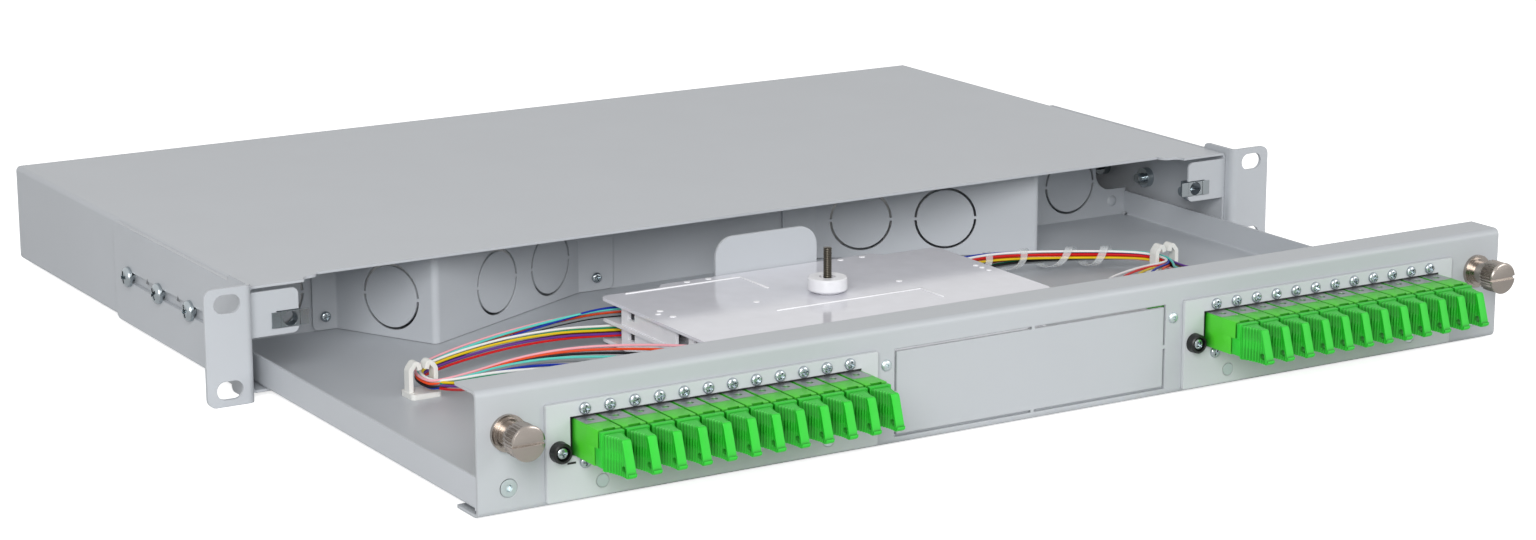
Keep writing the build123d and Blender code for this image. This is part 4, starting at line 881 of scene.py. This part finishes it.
class SPLICEBOX_OT_adapters(bpy.types.Operator):
    """Mould the adapters with their stepped fronts and rounded edges"""

    bl_idname = "splicebox.adapters"
    bl_label = "Adapters"

    def execute(self, context):
        low, high = (Vector(corner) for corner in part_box("adapters"))
        clip_low, clip_high = (Vector(corner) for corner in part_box("adapter_clips"))
        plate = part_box("adapter_plates")[0][1]
        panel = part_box("front_panel")[0][1]
        middle = (low.z + high.z) / 2
        top, foot = clip_high.z, 2 * middle - clip_high.z
        half = 4.3 * MM
        rail = 3.85 * MM
        round_off = 0.3 * MM
        step = 2.2 * MM
        flange = 2.0 * MM
        deck = half - 0.1 * MM
        bm = bmesh.new()
        block(bm, (-half, low.y, middle), (half, clip_low.y - 0.1 * MM, top), round_off)
        block(bm, (-half, low.y + step, foot), (half, plate, middle + 0.5 * MM), round_off)
        block(bm, (-deck, clip_low.y - 0.6 * MM, middle), (deck, panel, clip_low.z - 0.03 * MM))
        for sign in (-1, 1):
            x0, x1 = sorted((sign * rail, sign * half))
            block(bm, (x0, clip_low.y - 1.0 * MM, middle), (x1, plate, top - 0.02 * MM), 0.12 * MM)
        block(bm, (-half, plate - 0.5 * MM, foot + 0.2 * MM), (half, panel + 0.2 * MM, top - 0.5 * MM))
        block(bm, (-half - 0.1 * MM, panel, low.z), (half + 0.1 * MM, panel + flange, high.z), 0.2 * MM)
        block(bm, (-half, panel + flange - 0.2 * MM, foot), (half, high.y, top), round_off)
        sockets = bmesh.new()
        wide, tall = 3.65 * MM, 4.6 * MM
        block(sockets, (-wide, low.y - 1 * MM, middle - tall), (wide, panel, middle + tall))
        block(sockets, (-wide, panel + flange, middle - tall), (wide, high.y + 1 * MM, middle + tall))
        # The keyway of the connector, open to the top behind the cap's collar.
        key = 2.2 * MM
        block(sockets, (-key, low.y - 1 * MM, middle), (key, low.y + 0.7 * MM, top + 1 * MM))
        pattern = cut(bm, sockets, "adapter_pattern")
        places = [(spot.x, 0, 0) for spot, _ in solid_middles("adapters")]
        piece_set("adapter_row", pattern, places, (0, 0, 0), 1, "green", ["adapters"])
        self.joints(places, plate, foot, top)
        return {"FINISHED"}

    def joints(self, places, plate, foot, top):
        """Painted shade in the gap round each row of adapters: a thin black liner in the cut-out, where the
        gap lies in shadow.
        """
        line = 0.55 * MM
        half_pitch = 4.75 * MM
        proud, deep = 0.05 * MM, 0.3 * MM
        bm = bmesh.new()
        spots = sorted(place[0] for place in places)
        for row in (spots[:ADAPTERS_PER_ROW], spots[ADAPTERS_PER_ROW:]):
            left, right = row[0] - half_pitch, row[-1] + half_pitch
            for low, high in (
                ((left - line, top), (right, top + line)),
                ((left - line, foot), (left, top + line)),
            ):
                block(bm, (low[0], plate - proud, low[1]), (high[0], plate + deep, high[1]))
        piece("row_liners", finish_mesh(bm, "row_liners"), "black")


class SPLICEBOX_OT_screws(bpy.types.Operator):
    """Set the screws, rivets and cup washers of the drawer and the ears"""

    bl_idname = "splicebox.screws"
    bl_label = "Screws and washers"

    def execute(self, context):
        # Depth of the seat behind the front of the screws, and the sizes of one screw, in millimetres.
        for name, node, seat_mm, sizes_mm, seed in (
            ("adapter_screw_set", "adapter_screws", 1.3, (2.1, 1.3, 1.0, 1.45), 7),
            ("plate_screw_set", "plate_screws", 1.4, (2.3, 1.6, 1.5, 4.2), 5),
        ):
            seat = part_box(node)[0][1] + seat_mm * MM
            places = [(middle.x, seat, middle.z) for middle, _ in solid_middles(node)]
            pattern = screw_mesh(f"{name}_pattern", sizes_mm, (0, -1, 0))
            piece_set(name, pattern, places, (0, 1, 0), seed, "zinc", [node])
        self.rear_set()
        self.panel_set()
        self.washer_set()
        found = solid_middles("ear_screws")
        head_mm = 2.6
        for side, sign, seed in (("left", -1, 3), ("right", 1, 11)):
            places = []
            for middle, lengths in found:
                if middle.x * sign > 0:
                    outer = middle.x + sign * lengths.x / 2
                    places.append((outer - sign * head_mm * MM, middle.y, middle.z))
            pattern = screw_mesh(f"{side}_ear_screw", (4.0, head_mm, 2.0, 9.0), (sign, 0, 0))
            name = f"{side}_ear_screw_set"
            piece_set(name, pattern, places, (1, 0, 0), seed, "zinc", ["ear_screws"], "case")
        return {"FINISHED"}

    def rear_set(self):
        """Cross-head screws and painted rivets on the rear wall of the drawer."""
        head_mm = 1.4
        screw_length = 4.5 * MM
        screws = []
        rivets = bmesh.new()
        rivet = [(0, 1.0 * MM), (0.3 * MM, 2.0 * MM), (1.0 * MM, 2.6 * MM), (4.0 * MM, 2.6 * MM)]
        for middle, lengths in solid_middles("rear_fasteners"):
            front = middle.y - lengths.y / 2
            if lengths.y > screw_length:
                screws.append((middle.x, front + head_mm * MM, middle.z))
            else:
                turned(rivets, rivet, to_rear(middle.x, front, middle.z), 20)
        pattern = screw_mesh("rear_screw", (2.1, head_mm, 1.4, 3.4), (0, -1, 0))
        piece_set("rear_screw_set", pattern, screws, (0, 1, 0), 9, "zinc", ["rear_fasteners"])
        piece("rear_rivets", finish_mesh(rivets, "rear_rivets"), "paint", ["rear_fasteners"])

    def panel_set(self):
        """Countersunk socket screws with their nuts, and the domed rivets beside the blank."""
        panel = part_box("front_panel")[0][1]
        near = 0.5 * MM
        # Steps of a dome and of a countersunk head, as (height, radius) in millimetres from the panel.
        dome_mm = ((-0.95, 0.9), (-0.75, 1.5), (-0.35, 1.95), (0.0, 2.1))
        head_mm = ((-0.06, 2.7), (0.0, 3.0), (1.4, 1.6))
        bm = bmesh.new()
        drills = bmesh.new()
        for middle, lengths in solid_middles("panel_fasteners"):
            turn = to_rear(middle.x, 0, middle.z)
            front = middle.y - lengths.y / 2
            rear = middle.y + lengths.y / 2
            if front < panel - near:
                dome = [(panel + height * MM, radius * MM) for height, radius in dome_mm]
                turned(bm, dome + [(rear, dome[-1][1])], turn, 24)
                turned(drills, [(panel - 2 * MM, 0.6 * MM), (panel, 0.6 * MM)], turn, 12)
            elif front < panel + near:
                head = [(panel + height * MM, radius * MM) for height, radius in head_mm]
                turned(bm, head + [(rear, head[-1][1])], turn, 28)
                turned(drills, [(panel - 1 * MM, 1.35 * MM), (panel + 1.3 * MM, 1.35 * MM)], turn, 6)
            else:
                turned(bm, [(front, lengths.x / 2), (rear, lengths.x / 2)], turn, 6)
        mesh = cut(bm, drills, "panel_fastener_set")
        piece("panel_fastener_set", mesh, "pale", ["panel_fasteners"])

    def washer_set(self):
        """Black cup washers with a thick wall round the screws of the plates."""
        bm = bmesh.new()
        bores = bmesh.new()
        for middle, lengths in solid_middles("cup_washers"):
            turn = to_rear(middle.x, 0, middle.z)
            front, rear = middle.y - lengths.y / 2, middle.y + lengths.y / 2
            cup = [(front, 3.0 * MM), (front + 0.5 * MM, 3.45 * MM), (rear, 3.6 * MM)]
            turned(bm, cup, turn, 32)
            turned(bores, [(front - 1 * MM, 2.55 * MM), (rear - 0.6 * MM, 2.35 * MM)], turn, 24)
        piece("cup_washer_set", cut(bm, bores, "cup_washer_set"), "black", ["cup_washers"])


class SPLICEBOX_OT_stud(bpy.types.Operator):
    """Cut the thread of the cassette stud"""

    bl_idname = "splicebox.stud"
    bl_label = "Cassette stud"

    def execute(self, context):
        pitch = context.scene.splicebox_sizes.stud_pitch
        low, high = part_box("cassette_stud")
        middle = node_middle("cassette_stud")
        radius = (high[0] - low[0]) / 2
        depth = 0.3 * MM

        def thread(height, radius, angle):
            phase = ((height - low[2]) / pitch - angle / (2 * math.pi)) % 1.0
            return -depth * abs(2 * phase - 1)

        steps = int((high[2] - low[2]) / pitch * 4)
        profile = [(low[2] + (high[2] - low[2]) * i / steps, radius) for i in range(steps + 1)]
        profile[-1] = (profile[-1][0], radius - 0.4 * MM)
        bm = bmesh.new()
        turned(bm, profile, Matrix.Translation((middle.x, middle.y, 0)), 16, thread)
        piece("threaded_stud", finish_mesh(bm, "threaded_stud", 60), "stud", ["cassette_stud"])
        return {"FINISHED"}


class SPLICEBOX_OT_lid_relief(bpy.types.Operator):
    """Raise the ribs and pips on the cassette lid"""

    bl_idname = "splicebox.lid_relief"
    bl_label = "Lid relief"

    def execute(self, context):
        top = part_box("cassette_lid")[1][2]
        rib = 0.45 * MM
        rise = 0.3 * MM
        bm = bmesh.new()
        # Two bent ribs, each along the lid and then forward, as runs of X and Y in millimetres.
        for corners in (
            ((-75.0, -8.0), (-24.8, -8.0), (-24.8, -28.0)),
            ((-39.6, -59.5), (24.2, -59.5), (24.2, -74.0)),
        ):
            for (x0, y0), (x1, y1) in zip(corners, corners[1:]):
                block(
                    bm,
                    (min(x0, x1) * MM - rib, min(y0, y1) * MM - rib, top - rise),
                    (max(x0, x1) * MM + rib, max(y0, y1) * MM + rib, top + rise),
                    0.15 * MM,
                )
        # Pips near the rear edge and near both ends: X, Y and radius in millimetres.
        for x, y, radius in (
            (-46.2, -3.8, 1.3),
            (-36.7, -3.8, 1.3),
            (23.0, -4.6, 1.3),
            (33.1, -4.6, 1.3),
            (63.0, -40.0, 1.1),
            (63.2, -44.0, 1.1),
            (63.0, -49.0, 1.1),
            (23.7, -45.3, 1.3),
            (-77.1, -37.3, 1.3),
            (-80.0, -41.0, 1.1),
            (-77.0, -46.8, 1.3),
            (-39.5, -44.1, 1.3),
        ):
            r = radius * MM
            dome = [(top - rise, r), (top + rise * 0.6, r), (top + rise, r * 0.7)]
            turned(bm, dome, Matrix.Translation((x * MM, y * MM, 0)), 16)
        piece("lid_relief", finish_mesh(bm, "lid_relief"), "relief")
        return {"FINISHED"}


# Runs along the end of a cassette: two distances from its rear edge in mm, and the share of the height.
CASSETTE_END_RUNS = (
    (15.0, 20.0, 1.0),
    (20.0, 25.0, 0.45),
    (25.0, 55.5, 1.0),
    (55.5, 65.0, 0.2),
    (65.0, 68.0, 1.0),
    (68.0, 76.0, 0.2),
)


class SPLICEBOX_OT_cassette_ends(bpy.types.Operator):
    """Stand the posts and walls along both ends of the two cassettes"""

    bl_idname = "splicebox.cassette_ends"
    bl_label = "Cassette ends"

    def execute(self, context):
        inset = 1.0 * MM
        sheet = 1.4 * MM
        floor = 1.5 * MM
        bm = bmesh.new()
        for name in ("lower_cassette", "upper_cassette"):
            low, high = (Vector(corner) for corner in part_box(name))
            base = low.z + floor
            crest = []
            for start, stop, share in CASSETTE_END_RUNS:
                height = base + (high.z - base) * share
                crest += [(high.y - start * MM, height), (high.y - stop * MM, height)]
            foot = base - 0.2 * MM
            outline = [(crest[0][0], foot)] + crest + [(crest[-1][0], foot)]
            for end in (low.x + inset, high.x - inset - sheet):
                loft(bm, [[(x, y, z) for y, z in outline] for x in (end, end + sheet)])
        piece("cassette_ends", finish_mesh(bm, "cassette_ends"), "white")
        return {"FINISHED"}


class SPLICEBOX_OT_marks(bpy.types.Operator):
    """Print the port number on the left plate and stamp the two arrowheads on the left ear"""

    bl_idname = "splicebox.marks"
    bl_label = "Marks"

    def execute(self, context):
        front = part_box("adapter_plates")[0][1]
        text = bpy.data.curves.new("port_number", "FONT")
        text.body = "1"
        text.size = 4.2 * MM
        text.offset = 0.14 * MM
        text.extrude = 0.02 * MM
        text.align_x = "CENTER"
        text.align_y = "CENTER"
        mesh = evaluated(placed("port_number", text))
        # The number lies on its side, as read from the left.
        turn = Matrix.Rotation(math.radians(90), 4, "X") @ Matrix.Rotation(math.radians(90), 4, "Z")
        mesh.transform(Matrix.Translation((-184.0 * MM, front - 0.03 * MM, -7.2 * MM)) @ turn)
        piece("port_number", mesh, "print")
        # The arm lies on the case wall, which is the case's own side plus the ear's sheet.
        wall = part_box("case_shell")[0][0] - 1.6 * MM
        half, foot, tip = 1.4, 1.0, 3.3
        bm = bmesh.new()
        for y in (68.6, 99.5):
            corners = ((y - half, foot), (y + half, foot), (y, tip))
            faces = (wall - 0.02 * MM, wall + 0.1 * MM)
            loft(bm, [[(x, a * MM, b * MM) for a, b in corners] for x in faces])
        # The arrowheads are dark with painted shade, for the shade at the bottom of a stamped mark.
        piece("ear_arrowheads", finish_mesh(bm, "ear_arrowheads"), "stamp", body="left_ear")
        return {"FINISHED"}


CAMERA_LENS_MM = 80.271
CAMERA_PLACE_MM = (-682.386, -1105.990, 316.948)
# Turn to the right, dip and roll of the camera in degrees.
CAMERA_TURNS = (31.392, 13.771, -0.086)
# Light of the white room on the object, and as the background that the camera and shiny surfaces see.
ROOM_LIGHT, ROOM_SEEN = 0.37, 1.0
FLOOR_GLOW = 0.75


class SPLICEBOX_OT_stage(bpy.types.Operator):
    """Set the floor, the lights and the camera"""

    bl_idname = "splicebox.stage"
    bl_label = "Stage"

    def execute(self, context):
        scene = context.scene
        scene.view_settings.view_transform = "Standard"
        material, tree, shader = new_material("white_paper_floor")
        set_sockets(shader, Roughness=0.9, Base_Color=linear("F7F7F7"), Specular_IOR_Level=0.0)
        seen = self.seen(tree, "Is Camera Ray", "Is Transmission Ray")
        amount = add(tree, "ShaderNodeMath", {1: FLOOR_GLOW}, {0: seen}, operation="MULTIPLY")
        glow = add(tree, "ShaderNodeEmission", {"Color": (1, 1, 1, 1)}, {"Strength": amount.outputs[0]})
        both = add(
            tree, "ShaderNodeAddShader", links={0: shader.outputs["BSDF"], 1: glow.outputs["Emission"]}
        )
        output = [n for n in tree.nodes if n.type == "OUTPUT_MATERIAL"][0]
        tree.links.new(both.outputs["Shader"], output.inputs["Surface"])
        bm = bmesh.new()
        bmesh.ops.create_grid(bm, x_segments=1, y_segments=1, size=4.0)
        for vert in bm.verts:
            vert.co.z = cad_box[0][2] - 0.2 * MM
        floor = placed("floor", to_mesh(bm, "floor"))
        floor.data.materials.append(material)
        self.light(scene)
        self.camera(scene)
        return {"FINISHED"}

    def seen(self, tree, *rays):
        """A socket that is 1 for rays of the named kinds and 0 for others."""
        path = add(tree, "ShaderNodeLightPath")
        found = path.outputs[rays[0]]
        for ray in rays[1:]:
            either = add(tree, "ShaderNodeMath", links={0: found, 1: path.outputs[ray]}, operation="MAXIMUM")
            found = either.outputs[0]
        return found

    def light(self, scene):
        """A white room and two large soft lamps at the front."""
        world = bpy.data.worlds.new("studio")
        scene.world = world
        world.use_nodes = True
        tree = world.node_tree
        tree.nodes.clear()
        seen = self.seen(tree, "Is Camera Ray", "Is Transmission Ray", "Is Glossy Ray")
        levels = {"To Min": ROOM_LIGHT, "To Max": ROOM_SEEN}
        strength = add(tree, "ShaderNodeMapRange", levels, {"Value": seen})
        sky = add(
            tree, "ShaderNodeBackground", {"Color": (1, 1, 1, 1)}, {"Strength": strength.outputs["Result"]}
        )
        add(tree, "ShaderNodeOutputWorld", links={"Surface": sky.outputs["Background"]})
        for name, place, aim, size, power in (
            ("front_softbox", (-1.0, -1.35, 0.8), (0, -0.05, 0), 0.9, 25.0),
            ("right_softbox", (1.0, -1.4, 0.7), (0.1, 0, 0), 0.8, 7.0),
        ):
            lamp = bpy.data.lights.new(name, "AREA")
            lamp.shape = "SQUARE"
            lamp.size = size
            lamp.energy = power
            holder = placed(name, lamp)
            holder.location = place
            holder.rotation_euler = (Vector(aim) - Vector(place)).to_track_quat("-Z", "Y").to_euler()

    def camera(self, scene):
        """The camera stands at the left front, a little above the box."""
        yaw, pitch, roll = (math.radians(angle) for angle in CAMERA_TURNS)
        ahead = Vector((math.sin(yaw) * math.cos(pitch), math.cos(yaw) * math.cos(pitch), -math.sin(pitch)))
        right = Vector((math.cos(yaw), -math.sin(yaw), 0))
        up = right.cross(ahead)
        tilted = right * math.cos(roll) + up * math.sin(roll)
        raised = up * math.cos(roll) - right * math.sin(roll)
        lens = bpy.data.cameras.new("camera")
        lens.sensor_width = 36.0
        lens.lens = CAMERA_LENS_MM
        lens.clip_start = 0.05
        holder = placed("camera", lens)
        turn = Matrix((tilted, raised, -ahead)).transposed().to_4x4()
        holder.matrix_world = Matrix.Translation(mm_vector(CAMERA_PLACE_MM)) @ turn
        scene.camera = holder


class SPLICEBOX_PT_panel(bpy.types.Panel):
    """Sizes, colours and steps of the splice box"""

    bl_idname = "SPLICEBOX_PT_panel"
    bl_label = "Splice box"
    bl_space_type = "VIEW_3D"
    bl_region_type = "UI"
    bl_category = "Splice box"

    def draw(self, context):
        layout = self.layout
        for group in (context.scene.splicebox_sizes, context.scene.splicebox_colours):
            for name in group.__annotations__:
                layout.prop(group, name)
        for step in STEPS:
            layout.operator(step.bl_idname)


STEPS = (
    SPLICEBOX_OT_finishes,
    SPLICEBOX_OT_fibres,
    SPLICEBOX_OT_spiral_wrap,
    SPLICEBOX_OT_thumbscrews,
    SPLICEBOX_OT_dust_caps,
    SPLICEBOX_OT_adapters,
    SPLICEBOX_OT_screws,
    SPLICEBOX_OT_stud,
    SPLICEBOX_OT_lid_relief,
    SPLICEBOX_OT_cassette_ends,
    SPLICEBOX_OT_marks,
    SPLICEBOX_OT_stage,
)
CLASSES = (SpliceBoxSizes, SpliceBoxColours) + STEPS + (SPLICEBOX_PT_panel,)


def register():
    for kind in CLASSES:
        bpy.utils.register_class(kind)
    bpy.types.Scene.splicebox_sizes = bpy.props.PointerProperty(type=SpliceBoxSizes)
    bpy.types.Scene.splicebox_colours = bpy.props.PointerProperty(type=SpliceBoxColours)


def unregister():
    del bpy.types.Scene.splicebox_sizes
    del bpy.types.Scene.splicebox_colours
    for kind in reversed(CLASSES):
        bpy.utils.unregister_class(kind)


def main():
    register()
    for step in STEPS:
        group, name = step.bl_idname.split(".")
        getattr(getattr(bpy.ops, group), name)()


if __name__ == "__main__":
    main()
